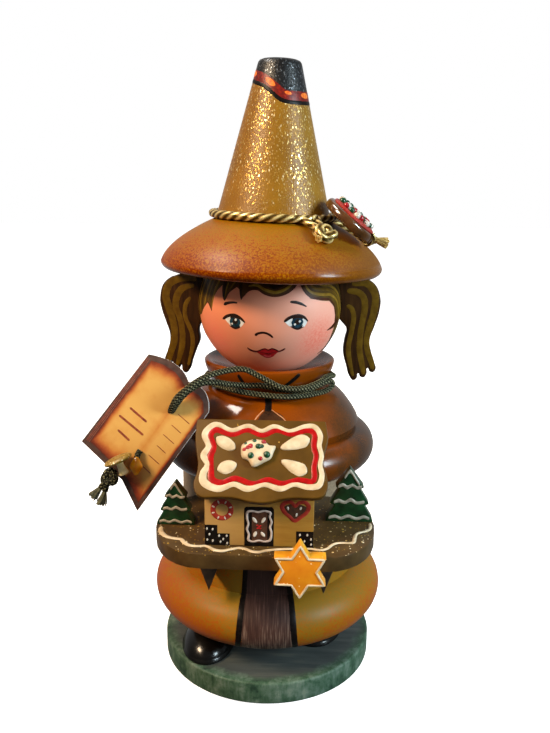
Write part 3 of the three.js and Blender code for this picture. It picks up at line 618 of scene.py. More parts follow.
# Dish of pressed brass on the cup's floor, held by one steel tack. The incense cone stands on it, and its
# soot clouds and dulls the warm metal.
brass_sheet, node, where = new_finish("pressed_brass_sheet", "#B08D3E", 0.34, Metallic=1)
soot = node("TexNoise", {"Scale": per_mm(4), "Detail": 5}, {"Vector": where})
tarnish = node("ValToRGB", None, {"Fac": soot}, [(0.36, "#5E4620"), (0.55, "#A27F38"), (0.75, "#C5A252")])
dull = node("MapRange", {"To Min": 0.5, "To Max": 0.22}, {"Value": soot})
feed(brass_sheet, Base_Color=tarnish, Roughness=dull)
dish = turned("cone_dish", [
    (0.85, 46), (15.9, 46), (16.25, 46.15), (16.4, 46.5), (16.4, 47.1), (16.1, 47.2), (15.8, 47.1),
    (15.75, 46.8), (15.4, 46.6), (0.85, 46.6), (0.85, 46),
], brass_sheet, 96)
fit(dish, "lower", "brass_plate", "cone_plate")

# Bright steel: a grey glint, rubbed duller in spots
tack_steel, node, where = new_finish("bright_steel_tack", "#9A9A98", 0.3, Metallic=1)
rub = node("TexNoise", {"Scale": per_mm(0.5), "Detail": 3}, {"Vector": where})
worn = node("MapRange", {"To Min": 0.22, "To Max": 0.45}, {"Value": rub})
feed(tack_steel, Roughness=worn)
dress("plate_tack", tack_steel)

# Tray board, sawn from 3 mm plywood and painted gingerbread brown with gold glitter on top; two wedge
# brackets under it and two blind dowels carry it on the waist.
tray_top = 53.6


# A sawn piece with its edges eased by sandpaper: the solid's own shape, merged and lightly bevelled
def eased(solid, width, finish):
    piece = set_up(solid + "_eased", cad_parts[solid].data.copy(), finish)
    bpy.ops.object.mode_set(mode="EDIT")
    bpy.ops.mesh.select_all(action="SELECT")
    bpy.ops.mesh.remove_doubles(threshold=1e-5)
    bpy.ops.mesh.dissolve_limited(angle_limit=math.radians(1))
    bpy.ops.object.mode_set(mode="OBJECT")
    bpy.ops.object.modifier_add(type="BEVEL")
    bevel = piece.modifiers["Bevel"]
    bevel.width = width * mm
    bevel.segments = 3
    bevel.limit_method = "ANGLE"
    bevel.angle_limit = math.radians(40)
    bpy.ops.object.modifier_apply(modifier="Bevel")
    bpy.ops.object.shade_smooth_by_angle(angle=math.radians(40))
    return piece


# Scattered flecks of glitter of that size: a mask that is 1 on a fleck, and a shade that differs for each
def flecks(node, where, spacing, size, share):
    cells = node("TexVoronoi", {"Scale": per_mm(spacing)}, {"Vector": where})
    near = node("Math", {"operation": "LESS_THAN", 1: size / spacing / 2}, {0: cells})
    lot = node("SeparateColor", None, {"Color": cells.outputs["Color"]})
    chosen = node("Math", {"operation": "LESS_THAN", 1: share}, {0: lot.outputs["Red"]})
    mask = node("Math", {"operation": "MULTIPLY"}, {0: near, 1: chosen})
    return mask, lot.outputs["Green"]


# Brown paint: cloudy and dull, with gold flecks on top that stand proud and shine
gingerbread, node, where = new_finish("brown_paint_with_glitter", "#5A3E1C", 0.45, Specular_IOR_Level=0.25)
apart = node("SeparateXYZ", None, {"Vector": where})
cloud = node("TexNoise", {"Scale": per_mm(3.5), "Detail": 4}, {"Vector": where})
crumb = node("ValToRGB", None, {"Fac": cloud}, [(0.3, "#3E2C14"), (0.55, "#4C381C"), (0.8, "#5A4424")])
on_top = node("Math", {"operation": "GREATER_THAN", 1: (tray_top - 0.3) * mm}, {0: apart.outputs["Z"]})
small, shade = flecks(node, where, 0.6, 0.28, 0.4)
large, _ = flecks(node, where, 1.7, 0.52, 0.5)
strewn = node("Math", {"operation": "MAXIMUM"}, {0: small, 1: large})
mask = node("Math", {"operation": "MULTIPLY"}, {0: strewn, 1: on_top})
spark = node("ValToRGB", None, {"Fac": shade}, [(0.0, "#8A6A2E"), (0.6, "#C9A24E"), (1.0, "#FFF3CF")])
sprinkled = node("MixRGB", None, {"Fac": mask, "Color1": crumb, "Color2": spark})
shine = node("MapRange", {"To Min": 0.42, "To Max": 0.2}, {"Value": mask})
proud = node("Bump", {"Strength": 0.3, "Distance": 0.1 * mm}, {"Height": mask})
feed(gingerbread, Base_Color=sprinkled, Roughness=shine, Normal=proud)
tray = eased("tray_board", 0.35, gingerbread)
fit(tray, "lower", "gingerbread_paint", "tray_board")

# Umber paint, darker than the tray's brown: partly their own paint, partly painted shade from the tray above
shaded_bracket_paint = mottled("umber_paint", "#4C3B2A", 0.5, 1.6, 4, [(0.3, "#221810"), (0.7, "#3A2C20")])
for bracket in ["tray_bracket_left", "tray_bracket_right"]:
    fit(eased(bracket, 0.25, shaded_bracket_paint), "lower", "gingerbread_paint", bracket)

# Cream icing along the tray's front edge, piped on in one wavy line of thick paint: a warm white that pools
# darker, with soft ripples.
cream_icing = mottled("thick_cream_paint", "#D8C8A2", 0.4, 1.8, 3,
                      [(0.3, "#BCA684"), (0.55, "#D0BC9C"), (0.8, "#E0D0B4")], (0.15, 0.1),
                      Specular_IOR_Level=0.3)


# A place on a flat face, so far across and up it from its origin, and the way that it faces
def on_flat(origin, out, across=(1, 0, 0), up=(0, 0, 1)):
    return lambda u, v: (Vector(origin) + Vector(across) * u + Vector(up) * v, Vector(out))


on_tray = on_flat((0, 0, tray_top), (0, 0, 1), up=(0, 1, 0))
brushed("tray_icing_line", [[
    (-22.9, -38.4, 1.2), (-22.5, -40.7, 1.3), (-21.4, -42.5, 1.2), (-20, -43.5, 1), (-18.6, -43.9, 0.9),
    (-17.4, -44.2, 0.95), (-16.5, -45.6, 1.05), (-15.3, -46.8, 0.95), (-13.7, -47.2, 0.7),
    (-11.8, -47, 0.65), (-10.7, -47.6, 0.8), (-9.4, -48.7, 0.95), (-7.8, -49, 0.85), (-6.1, -48.2, 0.75),
    (-4.3, -47.5, 0.7), (-2.8, -47.9, 0.8), (-1.4, -48.9, 0.85), (0.1, -49.1, 0.85), (1.7, -48.3, 0.75),
    (4.5, -47.6, 0.65), (8, -47.2, 0.6), (11.1, -47, 0.5), (12.5, -47.3, 0.5), (13.7, -47.4, 0.55),
    (14.9, -46.6, 0.7), (16, -44.9, 0.7), (17.1, -44, 0.6), (18.5, -43.8, 0.55), (19.7, -43.8, 0.6),
    (20.7, -43.4, 0.9), (21.1, -41.8, 0.9), (21.4, -40, 0.8), (22.2, -38.7, 0.6), (23.5, -38, 0.55),
    (24.6, -37.1, 0.7), (25.1, -35.6, 0.9), (25.2, -33.8, 0.9),
]], on_tray, 0.26, cream_icing, "lower", "white_icing", 0.25)

# House, a block of bare lime wood glued to the tray. Its door, wreath, heart and brick stacks are painted
# on the front wall with a fine brush. The wood has a honey grain, with painted light that makes it paler
# towards the viewer's left, where the warm window falls.
lime_wood, node, where = new_finish("bare_lime_wood", "#BC9350", 0.55, Specular_IOR_Level=0.2)
board = node("Mapping", {"Scale": (0.12, 1, 1)}, {"Vector": where})
grain = node("TexNoise", {"Scale": per_mm(1.1), "Detail": 6, "Roughness": 0.6}, {"Vector": board})
wood = node("ValToRGB", None, {"Fac": grain}, [(0.28, "#885E20"), (0.52, "#966C28"), (0.78, "#A27A32")])
fibre = node("Bump", {"Strength": 0.15, "Distance": 0.1 * mm}, {"Height": grain})
apart = node("SeparateXYZ", None, {"Vector": where})
# Painted light: the wood turns paler towards the viewer's left
left_light_share = node("MapRange", {"From Min": 5 * mm, "From Max": -12 * mm, "To Min": 0, "To Max": 0.75},
                 {"Value": apart.outputs["X"]})
wood_lit_left = node("MixRGB", {"Color2": linear("#B8925A")}, {"Fac": left_light_share, "Color1": wood})
feed(lime_wood, Base_Color=wood_lit_left, Normal=fibre)
house = eased("house_body", 0.25, lime_wood)
fit(house, "lower", "tan_wood", "house_body")

wall_front = -46.35
on_wall = on_flat((0, wall_front, 0), (0, -1, 0))


# An oval dab as a stroke: centre, length, width and turn in degrees
def dab(x, z, length, width, turn=0):
    run = Vector((math.cos(math.radians(turn)), math.sin(math.radians(turn)))) * length / 2
    shares = [-1, -0.94, -0.8, -0.55, 0, 0.55, 0.8, 0.94, 1]
    return [(x + run.x * s, z + run.y * s, width * math.sqrt(1.001 - s * s)) for s in shares]


# A ring of points round a centre, as a closed stroke
def ring(x, z, radius, width, count=16):
    turns = [2 * math.pi * i / count for i in range(count)]
    return [(x + radius * math.cos(t), z + radius * math.sin(t), width) for t in turns]


# Paints that are used for several motifs: each is one pot with slight pooling and brush marks
motif_paints = {}
for pot, dark, light, gloss in [
    ("brick_red", "#86241A", "#A5352A", 0.4), ("umber_brown", "#3C241A", "#533626", 0.45),
    ("chalk_white", "#BDB3A6", "#DAD2C6", 0.4), ("rose_white", "#A9968C", "#C4B4AA", 0.4),
    ("signal_red", "#940306", "#B0080A", 0.32), ("frost_cream", "#8C8678", "#B6AE9E", 0.4),
]:
    motif_paints[pot] = mottled(pot + "_paint", light, gloss, 0.9, 3, [(0.32, dark), (0.68, light)],
                                (0.12, 0.08), Specular_IOR_Level=0.25)

# The door stands in a black frame, with wavy icing, four almonds and a red bow; the stacks are black bricks
brushed("house_door_frame", [
    [(0, 53.65, 6.4), (0, 55, 6.4), (0, 61.5, 6.5), (0, 62.6, 6.1), (0, 62.9, 5.4)],
    [(-10.45, 53.65, 2.75), (-10.45, 58.4, 2.75)], [(-7.75, 53.65, 2.7), (-7.75, 56.45, 2.7)],
    [(9.95, 53.65, 3.75), (9.95, 57.4, 3.75)],
], on_wall, 0.05, line_black, "lower", "black_gloss_paint", 0.5, ends=False, across=8)
brushed("house_door_panel", [
    [(0.1, 54.5, 4.6), (0.1, 61.9, 4.6)],
    [(6.2, 63.5, 2.0), (6.6, 62.6, 2.9), (7.3, 61.5, 2.6), (7.8, 60.4, 0.9)],
    [(9.4, 63.5, 2.0), (9.0, 62.6, 2.9), (8.3, 61.5, 2.6), (7.8, 60.4, 0.9)],
], on_wall, 0.07, motif_paints["umber_brown"], "lower", "gingerbread_paint", 0.5, ends=False)
brushed("house_door_icing", [[
    (-2.5, 61.6, 0.6), (-1.4, 61.9, 0.5), (-0.2, 61.7, 0.55), (1.1, 62.0, 0.5), (2.4, 61.6, 0.6),
    (2.3, 60.6, 0.5), (2.7, 59.4, 0.5), (2.4, 58.2, 0.5), (2.7, 56.9, 0.5), (2.4, 55.2, 0.6),
    (1.2, 54.8, 0.5), (0, 55.0, 0.5), (-1.3, 54.7, 0.5), (-2.3, 55.1, 0.6), (-2.2, 56.4, 0.5),
    (-2.6, 57.6, 0.5), (-2.3, 58.9, 0.5), (-2.6, 60.2, 0.5),
]], on_wall, 0.2, motif_paints["rose_white"], "lower", "white_icing", 0.15, closed=True)
almonds = [dab(-0.95, 59.8, 1.5, 0.85, 125), dab(0.95, 59.85, 1.5, 0.85, 60),
           dab(-0.85, 56.5, 1.4, 0.9, 70), dab(0.85, 56.5, 1.4, 0.85, 130)]
white_dabs = [dab(-8.05 + 2.0 * math.cos(t), 62 + 1.95 * math.sin(t), 0.75, 0.5, math.degrees(t))
              for t in (0.35, 1.15, 1.95, 2.75, 3.5, 4.3, 5.05, 5.75)]
white_dabs += [dab(6.2, 62.75, 0.8, 0.6, 110), dab(8.95, 62.85, 0.8, 0.6, 70),
               dab(8.05, 61.3, 0.85, 0.55, 80)]
white_dabs += [dab(x, z, 0.6, 0.45, 80) for x, z in [
    (-11.35, 57.5), (-10.1, 57.4), (-10.8, 56.2), (-11.3, 54.9), (-10.1, 54.7), (-8.7, 55.9),
    (-7.05, 55.95), (-7.8, 55.15), (-8.4, 54.5), (-6.95, 54.2), (8.9, 56.6), (10.5, 56.6), (9.9, 55.1),
    (11.3, 55.6), (11.35, 54.4)]]
brushed("house_white_dabs", almonds + white_dabs, on_wall, 0.16, motif_paints["chalk_white"], "lower",
        "white_icing", 0.12)
brushed("house_red_rings", [
    ring(-8.05, 62, 1.95, 1.15),
    [(7.75, 63.25, 0.8), (6.9, 64.1, 0.85), (5.7, 64.1, 0.95), (4.95, 63.1, 1.0), (5.5, 61.9, 1.0),
     (6.6, 60.9, 0.95), (7.75, 59.9, 0.9), (9.1, 60.9, 0.95), (10.2, 61.9, 1.0), (10.65, 63.2, 1.0),
     (9.9, 64.15, 0.9), (8.7, 64.1, 0.8)],
], on_wall, 0.1, motif_paints["brick_red"], "lower", "red_icing", 0.2, closed=True)
brushed("house_door_bow",
        [dab(-0.35, 58.6, 0.5, 0.4), dab(0.3, 58.5, 0.5, 0.4), dab(-0.3, 57.9, 0.5, 0.4),
         dab(0.25, 57.85, 0.5, 0.4), dab(0, 58.2, 0.5, 0.45)], on_wall, 0.2, motif_paints["signal_red"],
        "lower", "red_icing", 0.1)

# Roof boards of 2 mm plywood, mitred at the ridge and glued on the gables; painted gingerbread with glitter
# on the edges, and iced on the front with cream, red and four almonds. The brown is warm and dull.
roof_brown, node, where = new_finish("gingerbread_roof_paint", "#6E4A16", 0.5, Specular_IOR_Level=0.15)
cloud = node("TexNoise", {"Scale": per_mm(5), "Detail": 4}, {"Vector": where})
crumb = node("ValToRGB", None, {"Fac": cloud}, [(0.3, "#4E3408"), (0.55, "#5A3D0C"), (0.8, "#664610")])
mask, shade = flecks(node, where, 1.3, 0.36, 0.12)
spark = node("ValToRGB", None, {"Fac": shade}, [(0.0, "#9A7432"), (0.6, "#C9A24E"), (1.0, "#FFF0C8")])
sprinkled = node("MixRGB", None, {"Fac": mask, "Color1": crumb, "Color2": spark})
shine = node("MapRange", {"To Min": 0.45, "To Max": 0.2}, {"Value": mask})
feed(roof_brown, Base_Color=sprinkled, Roughness=shine)
fit(eased("roof_back", 0.3, roof_brown), "lower", "gingerbread_paint", "roof_back")


# A board sawn to an outline, its edges rounded over, in a frame's own x and y; holes are (x, y, radius)
def sawn(name, outline, thickness, ease, finish, frame_of, soft=True, holes=()):
    bpy.ops.object.select_all(action="DESELECT")
    bpy.ops.curve.primitive_bezier_circle_add(location=(0, 0, 0))
    board = bpy.context.object
    board.data.splines.clear()
    loops = [(outline, soft)]
    for x, y, radius in holes:
        loops.append(([(p[0], p[1]) for p in ring(x, y, radius, 0, 20)], True))
    for points, rounded in loops:
        spline = board.data.splines.new("BEZIER")
        spline.bezier_points.add(len(points) - 1)
        spline.use_cyclic_u = True
        spline.resolution_u = 6 if rounded else 1
        for knot, (x, y) in zip(spline.bezier_points, points):
            knot.co = (x, y, 0)
            knot.handle_left_type = "AUTO" if rounded else "VECTOR"
            knot.handle_right_type = "AUTO" if rounded else "VECTOR"
    board.data.dimensions = "2D"
    board.data.fill_mode = "BOTH"
    board.data.extrude = thickness / 2 - ease
    board.data.bevel_depth = ease
    board.data.bevel_resolution = 3
    board.data.offset = -ease
    bpy.ops.object.convert(target="MESH")
    piece = bpy.context.object
    piece.name = name
    piece.data.transform(Matrix.Scale(mm, 4) @ frame_of)
    piece.data.materials.clear()
    piece.data.materials.append(finish)
    close_up(1e-6, 40)
    return piece


roof_seat = Vector((0.4, -39.35, 77.12))
roof_pitch = math.radians(51)
upslope = Vector((0, math.cos(roof_pitch), math.sin(roof_pitch)))
off_roof = Vector((0, -math.sin(roof_pitch), math.cos(roof_pitch)))
roof_board = 2
on_roof = on_flat(roof_seat + off_roof * roof_board, off_roof, up=upslope)
roof_outline = [
    (-14.4, 6), (-14.5, 2.4), (-14.6, 0.3), (-14.6, -1.8), (-14.2, -4.7), (-13.6, -7.8), (-13.7, -9.8),
    (-14.2, -11.7), (-14.1, -13.2), (-13.5, -14.4), (-12.3, -15.1), (-10.5, -15.1), (-7.4, -15.0),
    (-4.9, -15.2), (-2.4, -15.8), (-0.1, -16.0), (2.1, -15.8), (4.6, -15.1), (7.0, -14.8), (10.1, -14.8),
    (12.0, -14.7), (13.2, -14.2), (14.0, -13.0), (14.2, -11.4), (13.8, -9.3), (13.2, -6.5), (13.7, -4.0),
    (14.2, -1.8), (14.0, 0.3), (13.7, 2.4), (13.6, 6),
]
roof_frame = Matrix.Translation(roof_seat + off_roof) @ Matrix.Rotation(roof_pitch, 4, "X")
roof_front = sawn("roof_front_sawn", roof_outline, roof_board, 0.3, roof_brown, roof_frame)
bpy.ops.object.select_all(action="DESELECT")
bpy.ops.mesh.primitive_cube_add(size=1, location=Vector((0.4, -24.4, 77)) * mm,
                                scale=Vector((60, 30, 60)) * mm)
cut(roof_front, bpy.context.object)
fit(roof_front, "lower", "gingerbread_paint", "roof_front")

brushed("roof_cream_border", [[
    (-12.6, -1.2, 1.35), (-11.2, 0.8, 1.3), (-9.6, 1.1, 1.1), (-6.7, -0.1, 0.95), (-3.2, 1.0, 1.0),
    (-0.3, -0.1, 0.9), (2.5, 1.0, 1.0), (5.8, 0, 0.9), (9, 1.1, 1.0), (11.2, 1.1, 1.15), (12.5, -0.9, 1.15),
    (12.3, -3.2, 1.0), (12.8, -5.4, 0.95), (12.5, -7.6, 1.0), (12.9, -9.8, 1.1), (12.2, -12, 1.3),
    (9.9, -12.4, 1.2), (7, -11.9, 1.0), (4.1, -12.9, 1.25), (0.7, -12.1, 1.0), (-2.7, -13.1, 1.3),
    (-5.7, -12.2, 1.1), (-8.9, -13.2, 1.5), (-11.9, -12, 1.7), (-12.3, -10, 1.5), (-11.5, -8, 1.2),
    (-12.5, -6, 1.4), (-11.6, -3.8, 1.2),
]], on_roof, 0.14, cream_icing, "lower", "white_icing", 0.3, closed=True)
brushed("roof_red_border", [[
    (-11.3, -1.5, 1.3), (-10.1, -0.1, 1.3), (-6.6, -1.1, 1.1), (-3.4, 0, 1.1), (0, -1.1, 1.1),
    (3, 0.1, 1.1), (6.1, -0.7, 1.1), (9.6, 0.2, 1.15), (11.2, -0.6, 1.2), (11.1, -3.4, 1.2),
    (11.6, -5.6, 1.1), (11.2, -8, 1.15), (11.3, -10.2, 1.2), (10.6, -11.2, 1.2), (7.9, -10.9, 1.1),
    (4.5, -11.8, 1.2), (1.5, -11, 1.1), (-1.6, -12, 1.2), (-5.4, -10.9, 1.2), (-8.1, -11.9, 1.3),
    (-10.3, -11.3, 1.5), (-10.7, -8.9, 1.3), (-11.0, -6.2, 1.4), (-10.4, -4, 1.2),
]], on_roof, 0.1, motif_paints["signal_red"], "lower", "red_icing", 0.3, closed=True)
brushed("roof_almonds", [
    [(-10, -1.9, 1.2), (-9.1, -2.4, 2.3), (-7.9, -3.1, 2.7), (-6.6, -3.9, 2.2), (-5.8, -4.4, 1.2)],
    [(-9.3, -9.2, 1.4), (-8.3, -8.8, 2.6), (-7.2, -8.4, 2.9), (-6.1, -8, 2.3), (-5.3, -7.7, 1.2)],
    [(4, -4, 0.9), (5.5, -3.4, 2), (7.3, -2.7, 2.9), (9, -2.1, 3), (10.2, -1.7, 1.8)],
    [(4.2, -6.8, 0.8), (5.6, -7.4, 1.9), (7, -8.1, 2.7), (8.6, -8.8, 2.9), (9.7, -9.3, 1.8)],
], on_roof, 0.3, cream_icing, "lower", "white_icing", 0.2, across=10)

# Sweet on the roof: a dollop of cream icing set on the front board, wavy at its edge, with red and green
# sugar pearls pressed in before it dries.
sweet_middle = Vector((-0.8, -5.4))
sweet_reach = 3.4
sweet_rim = [p.to_2d() for p in stroke_line([
    (-4.45, -4.3, 0), (-3.9, -3.3, 0), (-2, -2.4, 0), (0.4, -2.6, 0), (1.5, -3.6, 0), (2.9, -3.8, 0),
    (2.5, -5.2, 0), (2, -6.5, 0), (0.6, -7.4, 0), (-1.7, -8.5, 0), (-2.7, -7.2, 0), (-4.2, -6.4, 0),
], 0.3, True, True)]
dollop = []
rings_up = [(0.94, -0.1), (1.0, 0.4), (1.0, 0.8), (0.94, 1.15), (0.8, 1.4), (0.55, 1.55), (0.25, 1.62)]
count = len(sweet_rim)
for share, up in rings_up:
    for k, p in enumerate(sweet_rim):
        at = sweet_middle.lerp(p, share)
        here, out = on_roof(at.x, at.y)
        wave = 0.12 * math.cos(9 * k / count * math.pi + 5 * share) * (1.05 - share)
        dollop.append(here + out * (up + wave))


# Faces between stacked rings of points; the last ring is closed, and the first one unless it has no foot
def ring_faces(rings, count, foot=True):
    faces = []
    for i in range(rings - 1):
        for k in range(count):
            n = (k + 1) % count
            faces.append((i * count + k, i * count + n, (i + 1) * count + n, (i + 1) * count + k))
    if foot:
        faces.append(tuple(range(count)))
    faces.append(tuple(range((rings - 1) * count, rings * count)))
    return faces


sweet = new_piece("roof_sweet_dollop", dollop, ring_faces(len(rings_up), count), cream_icing, smooth=60)
fit(sweet, "lower", "white_icing", "roof_sweet")


# Sugar pearls pressed into icing: round beads at points in millimetres
def pearls(name, places, finish):
    bpy.ops.object.select_all(action="DESELECT")
    made = []
    for (x, y, z), radius in places:
        bpy.ops.mesh.primitive_uv_sphere_add(segments=20, ring_count=12, radius=radius * mm,
                                             location=(x * mm, y * mm, z * mm))
        made.append(bpy.context.object)
    for bead in made:
        bead.select_set(True)
    bpy.context.view_layer.objects.active = made[0]
    bpy.ops.object.join()
    bpy.ops.object.transform_apply(location=True, rotation=True, scale=True)
    piece = bpy.context.object
    piece.name = name
    piece.data.materials.clear()
    piece.data.materials.append(finish)
    bpy.ops.object.shade_smooth()
    return piece


pearl_paints = {}
for pot, dark, light in [("red", "#8A0A12", "#B0161E"), ("green", "#08301A", "#124A28"),
                         ("white", "#B8B0A2", "#D6CEC2")]:
    pearl_paints[pot] = mottled(pot + "_sugar_pearl", light, 0.25, 0.8, 2, [(0.3, dark), (0.7, light)])
for pot, spots in [
    ("red",
     [(-3.6, -4.9, 0.6), (-2.95, -4.45, 0.6), (-2.35, -4.1, 0.65), (0.35, -3.1, 0.6), (-0.2, -6.8, 0.5)]),
    ("green",
     [(-0.75, -4.2, 0.7), (0, -4.15, 0.55), (-2.2, -6.2, 0.75), (1.1, -5.9, 0.8), (-1.6, -2.9, 0.5),
      (-3.4, -3.6, 0.5)]),
]:
    places = []
    for x, y, radius in spots:
        away = (Vector((x, y)) - sweet_middle).length / sweet_reach
        here, out = on_roof(x, y)
        places.append((here + out * (1.6 - 0.6 * away ** 2 - 0.3 * radius), radius))
    fit(pearls("roof_sweet_pearls_" + pot, places, pearl_paints[pot]), "lower", "red_icing")

# Fir trees sawn from 3 mm board and a star in orange, all glued to the tray. The gloss green is mottled
# from dark green to almost black, and lines of cream frost are brushed on.
fir_green = mottled("dark_green_gloss_paint", "#1B4A26", 0.3, 2.2, 4,
                    [(0.3, "#081A0C"), (0.5, "#10351A"), (0.75, "#1B4C28")])
for tree, across, front, wide, tall in [("tree_left", -19.8, -37.05, 8.9, 10.5),
                                        ("tree_right", 20.35, -32.95, 11.2, 13.2)]:
    fit(eased(tree, 0.3, fir_green), "lower", "fir_paint", tree)
    on_tree = on_flat((across, front, tray_top), (0, -1, 0), (wide / 2, 0, 0), (0, 0, tall))
    lines = [
        [(-0.24, 0.83, 0.06), (-0.02, 0.955, 0.07), (0.24, 0.8, 0.06), (0.4, 0.7, 0.05)],
        [(-0.5, 0.66, 0.05), (-0.3, 0.7, 0.07), (-0.12, 0.655, 0.07), (0.08, 0.695, 0.06),
         (0.3, 0.65, 0.06), (0.5, 0.675, 0.05)],
        [(-0.66, 0.37, 0.05), (-0.45, 0.4, 0.07), (-0.2, 0.37, 0.06), (0.04, 0.42, 0.07),
         (0.3, 0.365, 0.06), (0.62, 0.385, 0.05)],
        [(-0.86, 0.07, 0.05), (-0.6, 0.1, 0.06), (-0.35, 0.065, 0.06), (-0.05, 0.11, 0.06),
         (0.3, 0.065, 0.06), (0.6, 0.1, 0.06), (0.84, 0.065, 0.05)],
    ]
    brushed(tree + "_frost_lines", lines, on_tree, 0.14, motif_paints["frost_cream"], "lower",
            "white_icing", 0.03)

# Orange paint: clouded, yellower on the sawn sides, with pale sparkles
star_orange, node, where = new_finish("orange_sparkle_paint", "#F2A01E", 0.4)
apart = node("SeparateXYZ", None, {"Vector": where})
cloud = node("TexNoise", {"Scale": per_mm(2.4), "Detail": 4}, {"Vector": where})
face_tone = node("ValToRGB", None, {"Fac": cloud}, [(0.3, "#D87A0C"), (0.6, "#E08A12"), (0.8, "#E89A22")])
deep = node("MapRange", {"From Min": -53.4 * mm, "From Max": -54.0 * mm}, {"Value": apart.outputs["Y"]})
sides_tone = node("ValToRGB", None, {"Fac": cloud}, [(0.3, "#DE8C0E"), (0.7, "#EEAE26")])
star_tone = node("MixRGB", None, {"Fac": deep, "Color1": sides_tone, "Color2": face_tone})
mask, shade = flecks(node, where, 0.8, 0.28, 0.2)
spangled = node("MixRGB", {"Color2": linear("#FFE9A8")}, {"Fac": mask, "Color1": star_tone})
feed(star_orange, Base_Color=spangled)
star = eased("star", 0.3, star_orange)
fit(star, "lower", "star_paint", "star")
on_star = on_flat((9, -54.25, 51.95), (0, -1, 0))
star_point = 5.85
star_notch = 6.4 / math.sqrt(3) - 0.25
edge_width = 0.48
star_edge = []
for i in range(12):
    turn = math.radians(90 + 30 * i)
    reach = star_notch if i % 2 else star_point
    star_edge.append((reach * math.cos(turn), reach * math.sin(turn), edge_width))
brushed("star_cream_edge", [star_edge], on_star, 0.16, cream_icing, "lower", "white_icing", 0.3, soft=False,
        closed=True)

# Cape, turned hollow from lime wood: it lifts off the waist with all that is above it. Rust airbrush, bright
# in front, with painted shade that darkens it to brown at the sides, under gloss lacquer.
cape_outside = [
    (20.9, 58), *arc(24.5, 62.3, 4, 4.3, -90, 0, 14), *arc(23.4, 62.3, 5.1, 5, 0, 90, 12)[1:],
    (23.75, 68.2), (24.1, 69), (23.75, 70), (23.2, 70.98), (22.6, 72), (21.87, 72.96), (21.2, 73.95),
    (20.39, 74.94), (19.55, 75.85), (18.59, 76.65), (17.6, 77.4), (16.52, 78), (15, 78.15), (13.5, 78.2),
    (13.5, 80),
]
# Gloss lacquer: bright rust in front, painted shade of brown at the sides, mirror-smooth on the viewer's
# left
rust_lacquer, node, where = new_finish("rust_airbrushed_lacquer", "#743A10", 0.2, Specular_IOR_Level=0.3)
apart = node("SeparateXYZ", None, {"Vector": where})
aside = node("Math", {"operation": "ABSOLUTE"}, {0: apart.outputs["X"]})
# Painted shade: the further a point lies to either side of the front, the darker the brown
out = node("MapRange",
           {"interpolation_type": "SMOOTHSTEP", "From Min": 2 * mm, "From Max": 29 * mm, "To Min": 0.08,
            "To Max": 0.95}, {"Value": aside})
sprayed, _ = airbrushed(node, where, out, 7, 0.18, 0.5, 3, 0.2, 0.14)
shaded_rust = node("ValToRGB", None, {"Fac": sprayed},
            [(0.05, "#803A02"), (0.4, "#703404"), (0.75, "#502C0C"), (1.0, "#3C2618")])
buffed = node("MapRange", {"From Min": -8 * mm, "From Max": 18 * mm, "To Min": 0.12, "To Max": 0.265},
              {"Value": apart.outputs["X"]})
feed(rust_lacquer, Base_Color=shaded_rust, Roughness=buffed)
cape = turned("cape_turned", [
    (20.5, 58.3), *cape_outside, (6.5, 80), (6.5, 88), (3.4, 88), (3.4, 75), (10.5, 73.4), (15, 70.8),
    (17, 67.3), (17, 63.3), (20.5, 63.3), (20.5, 58.3),
], rust_lacquer, 160)
fit(cape, "upper", "rust_lacquer", "cape")

# The cape's front opening is painted: a black slit over a dark brown lap with thin orange edges
lap_brown = mottled("dark_brown_gloss_paint", "#3E2412", 0.16, 1.5, 3, [(0.3, "#2E1A0C"), (0.7, "#4A2C16")])
lap_edge = mottled("pale_orange_line_paint", "#C07A44", 0.3, 0.8, 3, [(0.3, "#A05A26"), (0.7, "#D2986A")])
on_cape = on_turned(cape_outside)
brushed("cape_painted_lap",
        [[(0.5, 28.7, 1.4), (0.75, 27.5, 4.4), (1.1, 26, 7.2), (1.3, 23.5, 9.5), (1.4, 21, 10)]], on_cape,
        0.03, lap_brown, "upper", "rust_lacquer", 0.5, ends=False, across=12)
brushed("cape_lap_lines", [
    [(-0.4, 28.9, 0.2), (-1.5, 27.6, 0.28), (-2.5, 26.1, 0.28), (-3.5, 23.5, 0.28), (-3.7, 21, 0.2)],
    [(1.4, 28.9, 0.2), (3.1, 27.5, 0.28), (4.7, 26.1, 0.28), (6.1, 23.5, 0.28), (6.4, 21, 0.2)],
], on_cape, 0.05, lap_edge, "upper", "orange_lacquer", 0.4)
brushed("cape_painted_slit", [[(0.5, 34.6, 1.5), (0.5, 32.7, 1.7), (0.6, 30.5, 1.65), (0.6, 28.4, 1.7)]],
        on_cape, 0.05, line_black, "upper", "black_gloss_paint", 0.4, ends=False)

# Collar, a shallow turned dish that is glued on the cape round the neck. It has the cape's rust lacquer,
# with black notches painted at the front.
collar_outside = [
    (14.6, 80), (15.4, 80.65), (16, 81.4), (16.5, 82.2), (16.8, 82.8), (17.1, 83.7), (17.3, 84.6),
    (17.25, 85), (17, 85.2), (16.75, 85.36), (16.4, 85.4),
]
collar = turned("collar_turned", [
    (6.8, 80), *collar_outside, (15.9, 85.3), (15.3, 84.95), (12, 83.75), (7.5, 82.1), (6.8, 82.1),
    (6.8, 80),
], rust_lacquer, 128)
fit(collar, "upper", "rust_lacquer", "collar")
brushed("collar_painted_notches", [
    [(8.6, 5.5, 1.0), (6.9, 4, 1.1), (5.2, 2.5, 1.0), (4, 1.4, 0.8)],
    [(-7.4, 5.2, 0.8), (-6.6, 3.8, 1.0), (-5.4, 1.8, 0.8)],
], on_turned(collar_outside), 0.05, line_black, "upper", "black_gloss_paint", 0.4)

# Ball head, turned from lime wood, bored for the smoke and glued on the neck. It is painted peach, with two
# rosy cheeks dabbed on with a sponge.
head_z = 99.712
head_radius = 18.6
